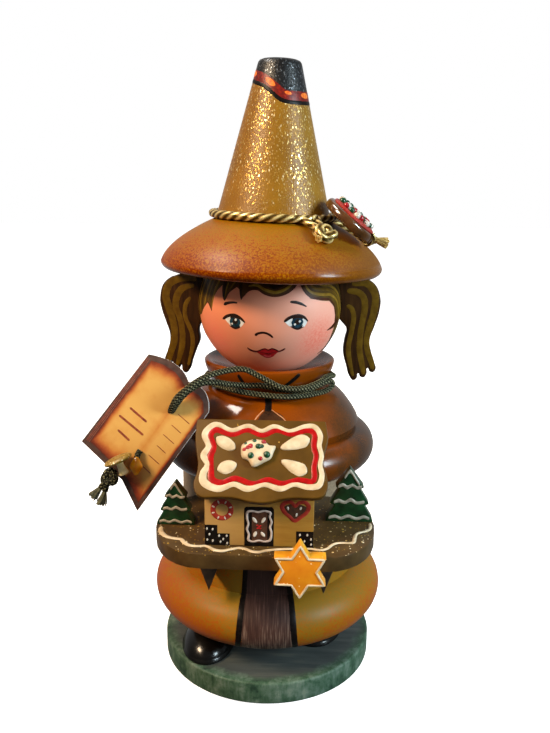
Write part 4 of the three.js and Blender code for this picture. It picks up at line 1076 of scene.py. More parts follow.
# Satin skin paint: peach with sponged rosy cheeks; painted light makes it warmer on the viewer's left and
# paler pink on the right, and painted shade makes it darker between them
skin, node, where = new_finish("peach_skin_paint", "#DA8E72", 0.45, Specular_IOR_Level=0.3)
sponge = node("TexNoise", {"Scale": per_mm(0.5), "Detail": 3, "Roughness": 0.7}, {"Vector": where})
blush = None
for across, up in [(-13, -7.8), (12.4, -7.2)]:
    deep = -math.sqrt(head_radius ** 2 - across ** 2 - up ** 2)
    apart = node("VectorMath", {"operation": "DISTANCE", 1: Vector((across, deep, head_z + up)) * mm},
                 {0: where})
    near = node("MapRange",
                {"interpolation_type": "SMOOTHSTEP", "From Min": 1 * mm, "From Max": 9.5 * mm, "To Min": 1,
                 "To Max": 0}, {"Value": apart.outputs["Value"]})
    if blush is None:
        blush = near
    else:
        blush = node("Math", {"operation": "ADD"}, {0: blush, 1: near})
dabbed = node("MapRange", {"From Min": 0.4, "From Max": 0.62, "To Min": 0.4, "To Max": 1.0},
              {"Value": sponge})
cheek = node("Math", {"operation": "MULTIPLY"}, {0: blush, 1: dabbed})
across = node("SeparateXYZ", None, {"Vector": where})
# Painted light and shade across the face: warm on the left, darker in the middle, pale pink on the right
lit_side_share = node("MapRange", {"From Min": -15 * mm, "From Max": 15 * mm}, {"Value": across.outputs["X"]})
peach_lit_and_shaded = node("ValToRGB", None, {"Fac": lit_side_share}, [(0.1, "#E28862"), (0.5, "#D48A6E"), (0.9, "#EEA892")])
skin_tone = node("MixRGB", {"Color2": linear("#E8745E")}, {"Fac": cheek, "Color1": peach_lit_and_shaded})
feed(skin, Base_Color=skin_tone)
socket = 6.8
socket_top = 88.3
head_bore = 4.2
low_turn = -math.degrees(math.acos(socket / head_radius))
high_turn = math.degrees(math.acos(head_bore / head_radius))
head = turned("head_turned", [
    *arc(0, head_z, head_radius, head_radius, low_turn, high_turn, 72), (head_bore, socket_top),
    (socket, socket_top), (socket, head_z - math.sqrt(head_radius ** 2 - socket ** 2)),
], skin, 144)
fit(head, "upper", "skin_paint", "head")

# Face, painted on the ball with a fine brush: almond eyes under dark lashes, a nose line and small red
# lips. Places and widths are degrees round and up the ball, 0.32 mm each.


# A place on the head, in degrees round from the front and up from its middle
def on_head(around, up):
    a = math.radians(around)
    e = math.radians(up)
    out = Vector((math.cos(e) * math.sin(a), -math.cos(e) * math.cos(a), math.sin(e)))
    return out * head_radius + Vector((0, 0, head_z)), out


# Every face and hair paint is one thin coat, a little thinner in places
coats = {}
for pot, dark, light, gloss in [
    ("eye_white", "#CCCAC6", "#E8E6E2", 0.3), ("slate_blue_iris", "#142630", "#2A4C5E", 0.25),
    ("black_brown_lash", "#150A06", "#2A140C", 0.4), ("dark_red_lip", "#8C0F16", "#A81C22", 0.35),
    ("deep_red_lip_line", "#2E0606", "#460A0C", 0.4), ("painted_lip_highlight", "#B8343A", "#CF5A5C", 0.3),
    ("hair_dark_brown", "#1E1004", "#361F0A", 0.4), ("hair_olive", "#5C4008", "#745612", 0.4),
    ("hair_gold", "#7A5A10", "#967424", 0.4), ("hair_outline_brown", "#3A1A0A", "#4A2410", 0.4),
]:
    coats[pot] = mottled(pot + "_paint", light, gloss, 1.2, 4, [(0.3, dark), (0.7, light)],
                         Specular_IOR_Level=0.2)

face = [
    ("eye_whites", "eye_white", 0.01, 0.01, [
        [(-33.4, -5, 0.8), (-29.6, -5.3, 6.2), (-25.1, -6.1, 9.4), (-20.4, -6.1, 7.4), (-17, -5.8, 0.8)],
        [(13.9, -4.7, 0.8), (18, -5.2, 6.4), (23.8, -5.8, 9.8), (28.7, -6, 7.6), (31.8, -5.2, 0.8)]]),
    ("irises", "slate_blue_iris", 0.025, 0.02, [dab(-24.7, -6, 9.6, 10), dab(23.6, -5.5, 9.8, 10)]),
    ("pupils", "black_brown_lash", 0.05, 0.012, [
        dab(-24.5, -5.6, 4.6, 4.8), dab(23.7, -5.2, 4.6, 4.8),
        [(-28.8, -3.4, 0.6), (-26.8, -2.3, 1.5), (-24.4, -2, 2.0), (-22, -2.6, 1.5), (-20.4, -3.8, 0.6)],
        [(19.4, -3, 0.6), (21.4, -1.8, 1.5), (23.6, -1.5, 2.0), (26, -1.9, 1.5), (27.8, -3.2, 0.6)],
        [(-28.9, -8, 0.6), (-27, -10, 1.2), (-24.8, -10.8, 1.4), (-22.4, -10.2, 1.2), (-20.6, -8.6, 0.6)],
        [(19.2, -7.6, 0.6), (21.2, -9.7, 1.2), (23.7, -10.5, 1.4), (26.1, -9.8, 1.2), (28.2, -7.8, 0.6)]]),
    ("eye_shines", "eye_white", 0.075, 0.02, [
        dab(-24.0, -4.3, 1.9, 2.1), dab(-27.3, -7.7, 1.5, 1.7), dab(25.4, -4.9, 1.8, 2.0),
        dab(21.6, -7, 1.8, 1.8)]),
    ("lashes_brows_nose", "black_brown_lash", 0.03, 0.045, [
        [(-36, -5, 1.01), (-34.6, -4.1, 2.17), (-31.2, -2.1, 2.32), (-25.8, -0.9, 2.46),
         (-21.6, -1.9, 2.17), (-18.4, -4.1, 1.89), (-16.4, -6, 0.87)],
        [(13.2, -4.9, 1.01), (14.6, -3.5, 2.32), (17.4, -1.7, 2.32), (21.3, -0.5, 2.32), (25.3, -0.5, 2.32),
         (29.4, -2.3, 2.03), (32.4, -5.4, 0.87)],
        [(-29.7, -9.4, 0.72), (-25.2, -11.2, 1.3), (-20.5, -9.9, 0.72)],
        [(18.2, -8.4, 0.72), (23.9, -10.8, 1.3), (29.1, -9.3, 0.72)],
        [(-34.9, 6, 1.3), (-33.4, 6.9, 2.46), (-31.5, 7.6, 2.17), (-27, 8.5, 1.59), (-22.7, 8.5, 1.16)],
        [(17.6, 10.1, 1.01), (19.4, 9.9, 1.89), (23, 9.4, 2.17), (27, 8, 1.89), (31.1, 5.8, 0.87)],
        [(-9, -15.9, 1.3), (-8.2, -15.1, 2.03), (-6.4, -13.9, 1.74), (-2.2, -13.2, 1.59), (2, -14.6, 1.74),
         (5, -17.3, 1.3)]]),
    ("lips", "dark_red_lip", 0.02, 0.05, [
        [(-9.2, -30.6, 0.8), (-6, -31.1, 4.4), (-4.3, -31.5, 6.5), (-1.4, -31.9, 9.4), (1.4, -33.1, 8.3),
         (4.5, -31.3, 8.6), (7, -30.6, 5.6), (9, -30.2, 2.9), (11.4, -30.4, 0.6)]]),
    # A painted highlight on the lower lip, in pale rose
    ("lip_painted_highlight", "painted_lip_highlight", 0.062, 0.02, [
        [(-3.4, -34, 0.5), (-1.4, -34.8, 1.6), (1.6, -35.3, 1.6), (4.2, -34, 0.5)]]),
    ("mouth_line", "deep_red_lip_line", 0.06, 0.03, [
        [(-16.9, -27.1, 0.6), (-15.6, -28.4, 1.5), (-13, -29.9, 1.6), (-9, -30.4, 1.5), (-6.4, -29.4, 1.2),
         (-3.6, -28, 1.0), (-1.4, -27.4, 1.0), (1.2, -28.8, 1.0), (4.4, -27.2, 1.0), (7.4, -28.2, 1.1),
         (10.4, -29.9, 1.4), (12.8, -29.3, 1.5), (14.7, -28.2, 1.4), (15.9, -27.3, 0.6)],
        [(-6, -31, 0.4), (-2, -31.6, 0.8), (1.4, -32.4, 0.9), (5, -31.4, 0.8), (8.6, -30.6, 0.4)]]),
]
for part, pot, lift, rise, strokes in face:
    brushed("face_" + part, strokes, on_head, rise, coats[pot], "upper", "skin_paint", 0.4, across=8,
            lift=lift)

# Hair, painted round the ball under the hat: a thin brown coat down to the hairline, with bands of gold,
# olive and dark brown that follow the parting in front and hang straight behind.
hairline = [
    (-180, -46), (-110, -45), (-92, -38), (-82, -30), (-78, -26), (-76.6, -20), (-75.4, -13), (-74.2, -7.4),
    (-67.2, -5.4), (-59, 2), (-54.5, 5.9), (-50.5, 2.5), (-48.3, -0.6), (-47.8, 4), (-47.4, 10),
    (-44, 15.8), (-39.4, 20.6), (-37.4, 15.5), (-35.4, 10.4), (-34.3, 9.1), (-33, 12), (-30.9, 16.1),
    (-25.3, 20.3), (-21.6, 18.3), (-20.7, 13), (-20, 10.8), (-17.9, 14), (-13.9, 18.3), (-7.6, 18.9),
    (-1.3, 15.4), (6.2, 14), (13.9, 15.4), (20.5, 18.9), (24.9, 23.2), (26.2, 26), (27.1, 23.1), (29.6, 17),
    (35.1, 11.5), (45.9, 9), (55.4, 7.8), (62, 2.6), (65, -5), (66, -10), (67.6, -14), (68.2, -20),
    (68.8, -25), (69.6, -29), (71, -33), (74, -36), (80, -39), (88, -41.6), (100, -44), (180, -46),
]
# Hair coat: thin matt brown, olive at the sides
hair_coat, node, where = new_finish("brown_hair_coat", "#54390F", 0.45, Specular_IOR_Level=0.2)
apart = node("SeparateXYZ", None, {"Vector": where})
thin = node("TexNoise", {"Scale": per_mm(1.6), "Detail": 4}, {"Vector": where})
aside = node("Math", {"operation": "ABSOLUTE"}, {0: apart.outputs["X"]})
sides = node("MapRange", {"From Min": 7 * mm, "From Max": 14 * mm}, {"Value": aside})
centre = node("ValToRGB", None, {"Fac": thin}, [(0.3, "#3A2008"), (0.7, "#50320E")])
flank = node("ValToRGB", None, {"Fac": thin}, [(0.3, "#443008"), (0.7, "#5E450F")])
coat_tone = node("MixRGB", None, {"Fac": sides, "Color1": centre, "Color2": flank})
feed(hair_coat, Base_Color=coat_tone)
strands = []
for (a0, e0), (a1, e1) in zip(hairline, hairline[1:]):
    parts = max(1, round((a1 - a0) / 0.8))
    strands += [(a0 + (a1 - a0) * k / parts, e0 + (e1 - e0) * k / parts) for k in range(parts)]
coat_points = []
coat_faces = []
rows_up = 30
under_hat = 64
coat_sink = 0.2
coat_lift = 0.02
for around, low in strands:
    here, out = on_head(around, low)
    coat_points.append(here - out * coat_sink)
    for k in range(rows_up + 1):
        here, out = on_head(around, low + (under_hat - low) * k / rows_up)
        coat_points.append(here + out * coat_lift)
    here, out = on_head(around, under_hat)
    coat_points.append(here - out * coat_sink)
row = rows_up + 3
for i in range(len(strands)):
    n = (i + 1) % len(strands)
    for k in range(row):
        m = (k + 1) % row
        coat_faces.append((i * row + k, n * row + k, n * row + m, i * row + m))
hair = new_piece("hair_painted_coat", coat_points, coat_faces, hair_coat)
fit(hair, "upper", "hair_paint")

bands = {
    "hair_outline_brown": [
        [(-20, 11, 0.4), (-17.9, 14.2, 0.9), (-13.9, 18.3, 1.1), (-7.6, 19.1, 1.1), (-1.3, 15.8, 1.1),
         (6.2, 14.4, 1.2), (13.9, 15.8, 1.1), (20.5, 19.3, 1.0), (24.9, 23.6, 0.9), (27, 28, 0.9)],
        [(-39.2, 25, 1.0), (-38.4, 18.5, 1.0), (-36.4, 12.4, 1.0), (-34.4, 9.4, 0.6), (-31.4, 15.6, 0.9),
         (-25.6, 20.2, 0.9), (-21.6, 22.5, 0.8)],
        [(27.6, 26, 1.2), (29.8, 18.4, 1.6), (35.3, 13, 1.8), (45.9, 10.4, 1.9), (55.6, 9, 1.8),
         (62.6, 3.6, 1.9), (66, -4.6, 2.0), (67, -10, 2.0)],
        [(76, -8, 6.5), (71, -10.6, 5.6), (66.4, -12.6, 4.0), (61, -14.4, 2.2), (55.5, -15.6, 0.4)],
        [(73.6, -20, 8), (73, -27, 8.4), (71, -32.4, 6.4), (67, -36.2, 3.8), (60.5, -39.2, 0.5)],
        [(-56, 6.4, 0.6), (-52, 4.2, 1.1), (-48.6, 0, 0.5)],
        [(-75, -9, 1.2), (-76.4, -16, 1.8), (-76, -23, 1.8), (-70.4, -27, 0.6)]],
    "hair_gold": [
        [(-15, 21.4, 1.0), (-8, 22.2, 2.0), (-1.2, 18.9, 2.2), (6.2, 17.2, 2.3), (13, 18.8, 2.1),
         (19, 22.4, 1.8), (23, 27, 1.2)],
        [(31, 25, 1.4), (33.6, 18.8, 1.9), (38, 15.6, 2.1), (46, 13.7, 2.1), (58.4, 12.2, 2.1),
         (68.4, 6, 2.0), (73, -4, 1.8), (75, -11, 1.0)],
        [(42, 25.5, 1.6), (48, 21.4, 2.1), (60.5, 19, 2.3), (72.5, 12, 2.1), (79, 0, 2.0), (81.6, -14, 1.8),
         (83.6, -26, 1.0)],
        [(-33.6, 23, 1.0), (-34.4, 17, 1.2), (-34.6, 11.6, 0.5)],
        [(-44.5, 24, 2.6), (-47, 13, 2.0), (-48.3, 2, 0.6)],
        [(-56, 26, 2.6), (-58, 12, 2.4), (-60, 2.6, 1.2)],
        [(-66, 26, 2.2), (-69.5, 10, 2.4), (-71, -4.6, 1.6)],
        [(-76, 24, 2.2), (-79, 6, 2.4), (-81, -12, 2.0), (-86, -34, 1.2)]],
    "hair_olive": [
        [(36, 25.5, 1.6), (39.4, 19.4, 2.0), (46.6, 17.5, 2.2), (59.4, 15.6, 2.2), (70.4, 9, 2.0),
         (76, -2, 1.8), (78.2, -12, 1.0)],
        [(-50, 26, 2.0), (-52.4, 14, 2.0), (-53.6, 6.6, 1.0)],
        [(-25, 27, 2.2), (-28.6, 22, 1.6), (-31, 18, 0.6)]],
    "hair_dark_brown": [
        [(-12, 27.5, 2.0), (-4, 24.4, 2.6), (4, 21.4, 3.0), (10, 21.8, 3.0), (15.6, 25.2, 2.4)],
        [(-37, 26, 3.2), (-36.4, 18, 2.6), (-35, 11.6, 0.8)],
        [(-22, 27, 3.4), (-21.2, 19, 2.4), (-20.2, 12, 0.6)],
        [(49, 26.5, 2.4), (61.4, 22.6, 2.6), (75.6, 14, 2.3), (82.6, 1, 2.2), (85.4, -16, 2.0),
         (87, -30, 1.2)],
        [(-61.6, 26, 2.0), (-64, 10, 2.0), (-65, -1.6, 1.0)],
        [(-71.5, 25, 1.8), (-74, 8, 1.8), (-75.6, -9, 1.0)]],
}
random.seed(5)
behind = ["hair_dark_brown", "hair_gold", "hair_olive"]
for i, around in enumerate(range(92, 270, 6)):
    sway = random.uniform(-2, 2)
    bands[behind[i % 3]].append([(around, 30, 2.2), (around + sway, 8, 3.0), (around - sway, -18, 2.8),
                                 (around + sway, -41, 1.0)])
for pot, strokes in bands.items():
    brushed("hair_bands_" + pot, strokes, on_head, 0.04, coats[pot], "upper", "hair_paint", 0.9, lift=0.03)

# Pigtails sawn from 3.6 mm board and pegged to the head, with three rounded ends each: dark brown with
# olive-gold strands painted on both faces. The brown is streaked lengthwise.
hair_brown, node, where = new_finish("dark_brown_hair_paint", "#3A2410", 0.45, Specular_IOR_Level=0.2)
lengthwise = node("Mapping", {"Scale": (1, 1, 0.12)}, {"Vector": where})
hairs = node("TexNoise", {"Scale": per_mm(0.9), "Detail": 4}, {"Vector": lengthwise})
brown = node("ValToRGB", None, {"Fac": hairs}, [(0.3, "#241204"), (0.55, "#3C2208"), (0.8, "#4C3010")])
feed(hair_brown, Base_Color=brown)
pigtail_half = 1.8
upright = Matrix.Translation((0, 0, head_z)) @ Matrix.Rotation(math.pi / 2, 4, "X")
pigtails = {
    "left": ([
        (-16.5, 5.5), (-18, 7), (-23, 7.1), (-27, 6), (-28.8, 1.5), (-28.4, -1.8), (-27.4, -5),
        (-26.4, -8.5), (-26.8, -11.8), (-27.9, -14.8), (-28.3, -16.6), (-27.6, -17.6), (-26.6, -17.2),
        (-26.05, -15.9), (-25.6, -17.2), (-24.9, -18.3), (-24.1, -17.8), (-23.65, -16.7), (-23.3, -18),
        (-22.4, -18.9), (-21.5, -18.3), (-20.6, -15.6), (-19.6, -12.8), (-18.5, -9.8), (-18.7, -7),
        (-17.6, -4.2), (-16.5, -2), (-16.5, 2),
    ], [
        [(-19, 6.3, 1.26), (-21.5, 6.6, 1.54), (-24, 6.3, 1.82), (-26.3, 4.9, 1.96), (-27.2, 1.9, 1.96),
         (-26.5, -1.1, 1.96), (-25.6, -4.2, 1.82), (-25.1, -7.2, 1.82), (-25.3, -10.3, 1.82),
         (-26.2, -12.9, 1.82), (-27, -16, 1.26)],
        [(-19.6, 4.7, 0.98), (-21.4, 4.5, 1.4), (-23.2, 3.6, 1.82), (-24.4, 1.5, 1.82), (-24.6, -1.1, 1.68),
         (-23.7, -3.7, 1.54), (-23.2, -6.2, 1.54), (-23, -9.3, 1.54), (-23.4, -12.4, 1.54),
         (-24.6, -16.8, 0.98)],
        [(-20.6, 1.6, 0.7), (-21.7, 0.4, 1.12), (-22.3, -1.6, 1.12), (-22.1, -4, 1.12), (-21.3, -5.9, 1.12),
         (-20.5, -8.2, 1.12), (-20.4, -11.3, 1.12), (-21.6, -16.8, 0.7)],
    ]),
    "right": ([
        (16.5, 5.2), (18, 6.6), (23, 6.7), (26.8, 5.9), (28.7, 2.3), (28.6, -1.4), (27.5, -5.4),
        (26.4, -9.2), (26.9, -12.2), (27.9, -15.2), (28.3, -16.8), (27.6, -17.8), (26.7, -17.6),
        (26.1, -16.7), (25.95, -18.2), (25.1, -19.3), (24.2, -19), (23.7, -18.2), (23.4, -19.4),
        (22.4, -20.1), (21.5, -19.2), (20.4, -16), (19.6, -12.7), (19.9, -9), (20.3, -6.4), (18.6, -4),
        (16.5, -1.5), (16.5, 2),
    ], [
        [(21.2, 5.6, 1.12), (23, 5.9, 1.54), (24.9, 5.9, 1.82), (26.5, 4.6, 1.96), (27.4, 2.3, 1.82),
         (27.2, -1.3, 1.82), (26.2, -5.4, 1.68), (25.6, -8.4, 1.54), (25.8, -11.5, 1.54),
         (26.9, -14.6, 1.54), (27.5, -17, 0.98)],
        [(20, 3.8, 1.12), (21.4, 3.8, 1.54), (23, 3.5, 1.68), (24.4, 2.1, 1.68), (24.8, -0.5, 1.68),
         (24.3, -4, 1.54), (23.9, -7.4, 1.54), (23.8, -11.6, 1.54), (24.5, -15.3, 1.54),
         (25.1, -18.4, 0.98)],
        [(20, 0, 0.98), (21.3, -0.7, 1.26), (22, -3, 1.26), (21.6, -6.5, 1.26), (20.9, -10.6, 1.26),
         (21.1, -13.7, 1.26), (22.3, -18.9, 0.7)],
    ]),
}
for side, (outline, strands) in pigtails.items():
    board = sawn("pigtail_" + side + "_sawn", outline, 2 * pigtail_half, 0.5, hair_brown, upright)
    bpy.ops.object.select_all(action="DESELECT")
    bpy.ops.mesh.primitive_uv_sphere_add(segments=96, ring_count=64, radius=(head_radius + 0.12) * mm,
                                         location=(0, 0, head_z * mm))
    cut(board, bpy.context.object)
    fit(board, "upper", "hair_paint", "pigtail_" + side)
    for face_name, deep in [("front", -pigtail_half), ("back", pigtail_half)]:
        on_board = on_flat((0, deep, head_z), (0, deep / pigtail_half, 0))
        brushed("pigtail_" + side + "_strands_" + face_name, strands, on_board, 0.04, coats["hair_olive"],
                "upper", "hair_paint", 0.4)

# Hat: a turned brim that sits on the ball head, tilted a little. Ochre at the top through speckled orange
# to a rust rim, under gloss lacquer.
hat_place = Matrix.Translation((0, 0, head_z)) @ Matrix.Rotation(math.radians(1.9), 4, "Y")


# A point on a curve with one control point, from 0 at its start to 1 at its end
def bowed(start, control, end, t):
    start, control, end = Vector(start), Vector(control), Vector(end)
    return tuple(start.lerp(control, t).lerp(control.lerp(end, t), t))


# A point on the brim's dome, 0 at the edge and 1 at the top
def dome(t):
    return bowed((28.5, 10.6), (26.9, 15.8), (15.3, 21.5), t)


# Speckled lacquer: glossy rust at the rim, satin orange and ochre above, and darker brown towards the right,
# partly browner paint and partly painted shade of the cord and biscuit
brim_lacquer, node, where = new_finish("speckled_orange_lacquer", "#8A5008", 0.3, Specular_IOR_Level=0.2)
apart = node("SeparateXYZ", None, {"Vector": where})
up = node("MapRange", {"From Min": 108.5 * mm, "From Max": 123 * mm}, {"Value": apart.outputs["Z"]})
sprayed, _ = airbrushed(node, where, up, 8, 0.1, 0.45, 2, 0.14, 0.45)
brim_tone = node("ValToRGB", None, {"Fac": sprayed},
                 [(0.0, "#702A00"), (0.3, "#8E4000"), (0.55, "#9C5C00"), (0.8, "#9A6A02"),
                  (1.0, "#865E00")])
# Partly painted shade: the brim darkens towards the viewer's right
right = node("MapRange", {"From Min": -8 * mm, "From Max": 24 * mm, "To Min": 0, "To Max": 0.75},
             {"Value": apart.outputs["X"]})
brim_shaded_right = node("MixRGB", {"Color2": linear("#6E4406")}, {"Fac": right, "Color1": brim_tone})
polish = node("MapRange", {"From Min": 110.6 * mm, "From Max": 111.4 * mm, "To Min": 0.1, "To Max": 0.42},
              {"Value": apart.outputs["Z"]})
worn = node("MapRange", {"From Min": 0, "From Max": 16 * mm, "To Min": 0, "To Max": 0.14},
            {"Value": apart.outputs["X"]})
rubbed = node("Math", {"operation": "ADD"}, {0: polish, 1: worn})
feed(brim_lacquer, Base_Color=brim_shaded_right, Roughness=rubbed)
recess = 18.9
hat_bore = 4.4
brim_foot = 8.6
brim_low = math.degrees(math.asin(brim_foot / recess))
brim_high = math.degrees(math.acos(hat_bore / recess))
brim = turned("hat_brim_turned", [
    *arc(0, 0, recess, recess, brim_high, brim_low, 24), (22, brim_foot), (26.5, 8.7), (27.4, 8.95),
    (28, 9.4), (28.4, 10.0),
    *[dome(i / 24) for i in range(25)], (15.2, 21.6), (6.3, 21.6), (6.3, 19.8), (hat_bore, 19.8),
    (hat_bore, math.sqrt(recess ** 2 - hat_bore ** 2)),
], brim_lacquer, 160, hat_place)
fit(brim, "upper", "orange_lacquer", "hat_brim")

# Hat cone, turned, bored for the smoke and glued in the brim: ochre lacquer under three sizes of gold and
# white leaf flecks, which stand proud and flash, and charcoal at the tip.
cone_glitter, node, where = new_finish("glitter_ochre_lacquer", "#8C6620", 0.3, Specular_IOR_Level=0.3)
apart = node("SeparateXYZ", None, {"Vector": where})
cloud = node("TexNoise", {"Scale": per_mm(6), "Detail": 4}, {"Vector": where})
ochre = node("ValToRGB", None, {"Fac": cloud}, [(0.3, "#7C5406"), (0.55, "#885E0A"), (0.8, "#946810")])
charcoal = node("ValToRGB", None, {"Fac": cloud}, [(0.3, "#0A0A0C"), (0.7, "#141518")])
tilt = node("VectorMath", {"operation": "DOT_PRODUCT", 1: (0.42, -0.1, 1.0)}, {0: where})
above = node("Math", {"operation": "GREATER_THAN", 1: 154.1 * mm}, {0: tilt.outputs["Value"]})
ground = node("MixRGB", None, {"Fac": above, "Color1": ochre, "Color2": charcoal})
tall = node("Mapping", {"Scale": (1, 1, 0.55)}, {"Vector": where})
slanted = node("Mapping", {"Rotation": (0.5, 0.7, 0.4), "Scale": (1, 1, 0.5)}, {"Vector": where})
denser = node("MapRange", {"From Min": 121 * mm, "From Max": 133 * mm, "To Min": 0.1, "To Max": 1},
              {"Value": apart.outputs["Z"]})
glittered = ground
glints = None
for run, spacing, size, share, dull, bright in [
    (tall, 0.42, 0.27, 0.7, "#9A7020", "#C8A050"), (slanted, 0.56, 0.31, 0.7, "#A88038", "#E8CC88"),
    (tall, 0.82, 0.36, 0.6, "#B89448", "#FFEEC0"),
]:
    mask, shade = flecks(node, run, spacing, size, share)
    lot = node("Math", {"operation": "LESS_THAN"}, {0: shade, 1: denser})
    kept = node("Math", {"operation": "MULTIPLY"}, {0: mask, 1: lot})
    gold = node("ValToRGB", None, {"Fac": shade}, [(0.0, dull), (1.0, bright)])
    silver = node("ValToRGB", None, {"Fac": shade}, [(0.0, "#1A1B1E"), (1.0, "#7A7E84")])
    leaf = node("MixRGB", None, {"Fac": above, "Color1": gold, "Color2": silver})
    glittered = node("MixRGB", None, {"Fac": kept, "Color1": glittered, "Color2": leaf})
    if glints is None:
        glints = kept
    else:
        glints = node("Math", {"operation": "MAXIMUM"}, {0: glints, 1: kept})
shine = node("MapRange", {"To Min": 0.38, "To Max": 0.3}, {"Value": glints})
grains = node("TexNoise", {"Scale": per_mm(0.45), "Detail": 2, "Roughness": 0.7}, {"Vector": tall})
facets = node("Math", {"operation": "MULTIPLY_ADD", 1: 0.5}, {0: glints, 2: grains})
proud = node("Bump", {"Strength": 0.8, "Distance": 0.13 * mm}, {"Height": facets})
leafy = node("MapRange", {"To Min": 0, "To Max": 0.55}, {"Value": glints})
feed(cone_glitter, Metallic=leafy, Base_Color=glittered, Roughness=shine, Normal=proud)
cone_foot = (14.6, 22.1)
cone_top = (5.55, 58.6)
cone = turned("hat_cone_turned", [
    (3.5, 20.1), (6, 20.1), (6, 21.9), (14.3, 21.9), cone_foot, cone_top, (5.35, 59.3), (5.0, 59.75),
    (4.4, 60), (3.8, 60), (3.5, 59.7), (3.5, 20.1),
], cone_glitter, 128, hat_place)
fit(cone, "upper", "ochre_lacquer", "hat_cone")

# Painted band round the tip, slanting down to the viewer's right: dark red with orange dabs over a black
# line.
cone_slope = (cone_foot[0] - cone_top[0]) / (cone_top[1] - cone_foot[1])
band_radius = 6.3


# A place on the cone: round it in millimetres at the band, and up from the head's centre
def on_cone(around, up):
    turn = around / band_radius
    r = cone_foot[0] - cone_slope * (up - cone_foot[1])
    face = Vector((math.sin(turn), -math.cos(turn), 0))
    out = (face + Vector((0, 0, cone_slope))).normalized()
    return hat_place @ (face * r + Vector((0, 0, up))), hat_place.to_3x3() @ out


band_line = [(-180, 54), (-135, 55.6), (-90, 56.1), (-60, 55.5), (-29, 54.4), (-8, 52.7), (11, 51.1),
             (45, 50.9), (90, 51.4), (135, 52.4), (180, 54)]
# Band paints: mottled dark red, and a bright orange over it
band_dark = mottled("dark_red_band_paint", "#7E160C", 0.4, 0.8, 4,
                    [(0.3, "#4A0A06"), (0.55, "#741408"), (0.8, "#9C260E")], Specular_IOR_Level=0.25)
band_orange = mottled("orange_band_paint", "#E0661A", 0.4, 0.8, 3, [(0.3, "#D2500E"), (0.7, "#F08A32")],
                      Specular_IOR_Level=0.25)
around_mm = math.radians(1) * band_radius
brushed("hat_band_red", [[(a * around_mm, z + 0.35, 2.3) for a, z in band_line]], on_cone, 0.04, band_dark,
        "upper", "red_icing", 0.5, ends=False)
brushed("hat_band_line", [[(a * around_mm, z - 1.15, 0.95) for a, z in band_line]], on_cone, 0.06,
        line_black, "upper", "black_gloss_paint", 0.5, ends=False)
dabs = [(-75, 56.1, 3, 1.3, -10), (-17, 53.9, 3, 1.3, -38), (20, 51.5, 1.6, 0.8, -15),
        (62, 51.3, 3, 1.3, 4), (120, 52.4, 3, 1.3, 12), (165, 53.8, 3, 1.3, 20), (-140, 55.8, 3, 1.3, 10)]
brushed("hat_band_dabs", [dab(a * around_mm, z + 0.3, long, wide, turn) for a, z, long, wide, turn in dabs],
        on_cone, 0.03, band_orange, "upper", "orange_lacquer", 0.2, lift=0.05)

# Gold cord laid from three metallic strands: one turn round the cone's foot, a knot on the brim, and a tail
# that goes behind the biscuit and ends in a frayed tuft.
gold_radius = 0.95
gold_pitch = 8.1
gold_depth = 0.3
# Metal thread: dark gold, with painted highlights on the crowns and painted shade, almost black, between
# the strands
gold_thread, node, where = new_finish("metallic_gold_cord", "#A87C2C", 0.36, Metallic=0.55)
lay_mark = node("Attribute", {"attribute_name": "crown"})
foil = node("TexNoise", {"Scale": per_mm(0.35), "Detail": 3}, {"Vector": where})
wound = node("Math", {"operation": "MULTIPLY_ADD", 1: 0.35, 2: -0.17}, {0: foil})
crown = node("Math", {"operation": "ADD"}, {0: lay_mark.outputs["Fac"], 1: wound})
gold_lit_and_shaded = node("ValToRGB", None, {"Fac": crown},
                 [(0.05, "#120A02"), (0.45, "#584010"), (0.72, "#8C6C28"), (0.97, "#EAD694")])
feed(gold_thread, Base_Color=gold_lit_and_shaded)


# How far a laid strand stands up at a place on the cord: three strands, all one way round
def laid(turn, along):
    return abs(math.cos(1.5 * turn + math.pi * 3 * along / gold_pitch)) ** 0.8


# A length of gold cord along a route in millimetres, in the frame of what it lies on
def gold_rope(name, route, place, radius=gold_radius, sides=18):
    return corded(name, route, radius, sides, laid, gold_depth, gold_thread, place, 60)


# A point round the hat: radius and height at an angle from the front towards the viewer's right
def around_hat(place, degrees):
    turn = math.radians(degrees)
    return Vector((place[0] * math.sin(turn), -place[0] * math.cos(turn), place[1]))


# A point above the brim's dome
def off_dome(t, lift):
    near, far = Vector(dome(max(0, t - 0.01))), Vector(dome(min(1, t + 0.01)))
    along = (far - near).normalized()
    at = Vector(dome(t)) + Vector((-along.y, along.x)) * -lift
    return at.x, at.y


ring_place = (15.55, 22.85)
gold_ring = gold_rope("hat_cord_laid", [around_hat(ring_place, 37 + 1.2 * k) for k in range(300)],
                      hat_place)
fit(gold_ring, "upper", "gold_cord", "hat_cord")
knot_at = 36
knot_middle = around_hat(off_dome(0.72, 1.9), knot_at)
knot_out = around_hat((1, 0), knot_at)
knot_side = around_hat((1, 0), knot_at + 90)
knot_up = (Vector((0, 0, 1)) + knot_out * 0.75).normalized()
knot_down = knot_side.cross(knot_up)
knot_loops = []
for k in range(97):
    t = 2 * math.pi * k / 96
    wide = 1.45 + 0.6 * math.cos(3 * t)
    level = knot_side * 1.2 * wide * math.cos(2 * t) + knot_down * wide * math.sin(2 * t)
    knot_loops.append(knot_middle + level + knot_up * 0.55 * math.sin(3 * t))
knot = gold_rope("hat_cord_knot_tied", knot_loops, hat_place, 0.85)
fit(knot, "upper", "gold_cord", "hat_cord_knot")
for name, degrees in [("left", 27), ("right", 46)]:
    away = around_hat((16.9, 22.2), knot_at + (degrees - knot_at) * 0.6)
    lead = smooth_route([around_hat(ring_place, degrees), away, knot_middle], 0.25)
    fit(gold_rope("hat_cord_lead_" + name, lead, hat_place, 0.8), "upper", "gold_cord")
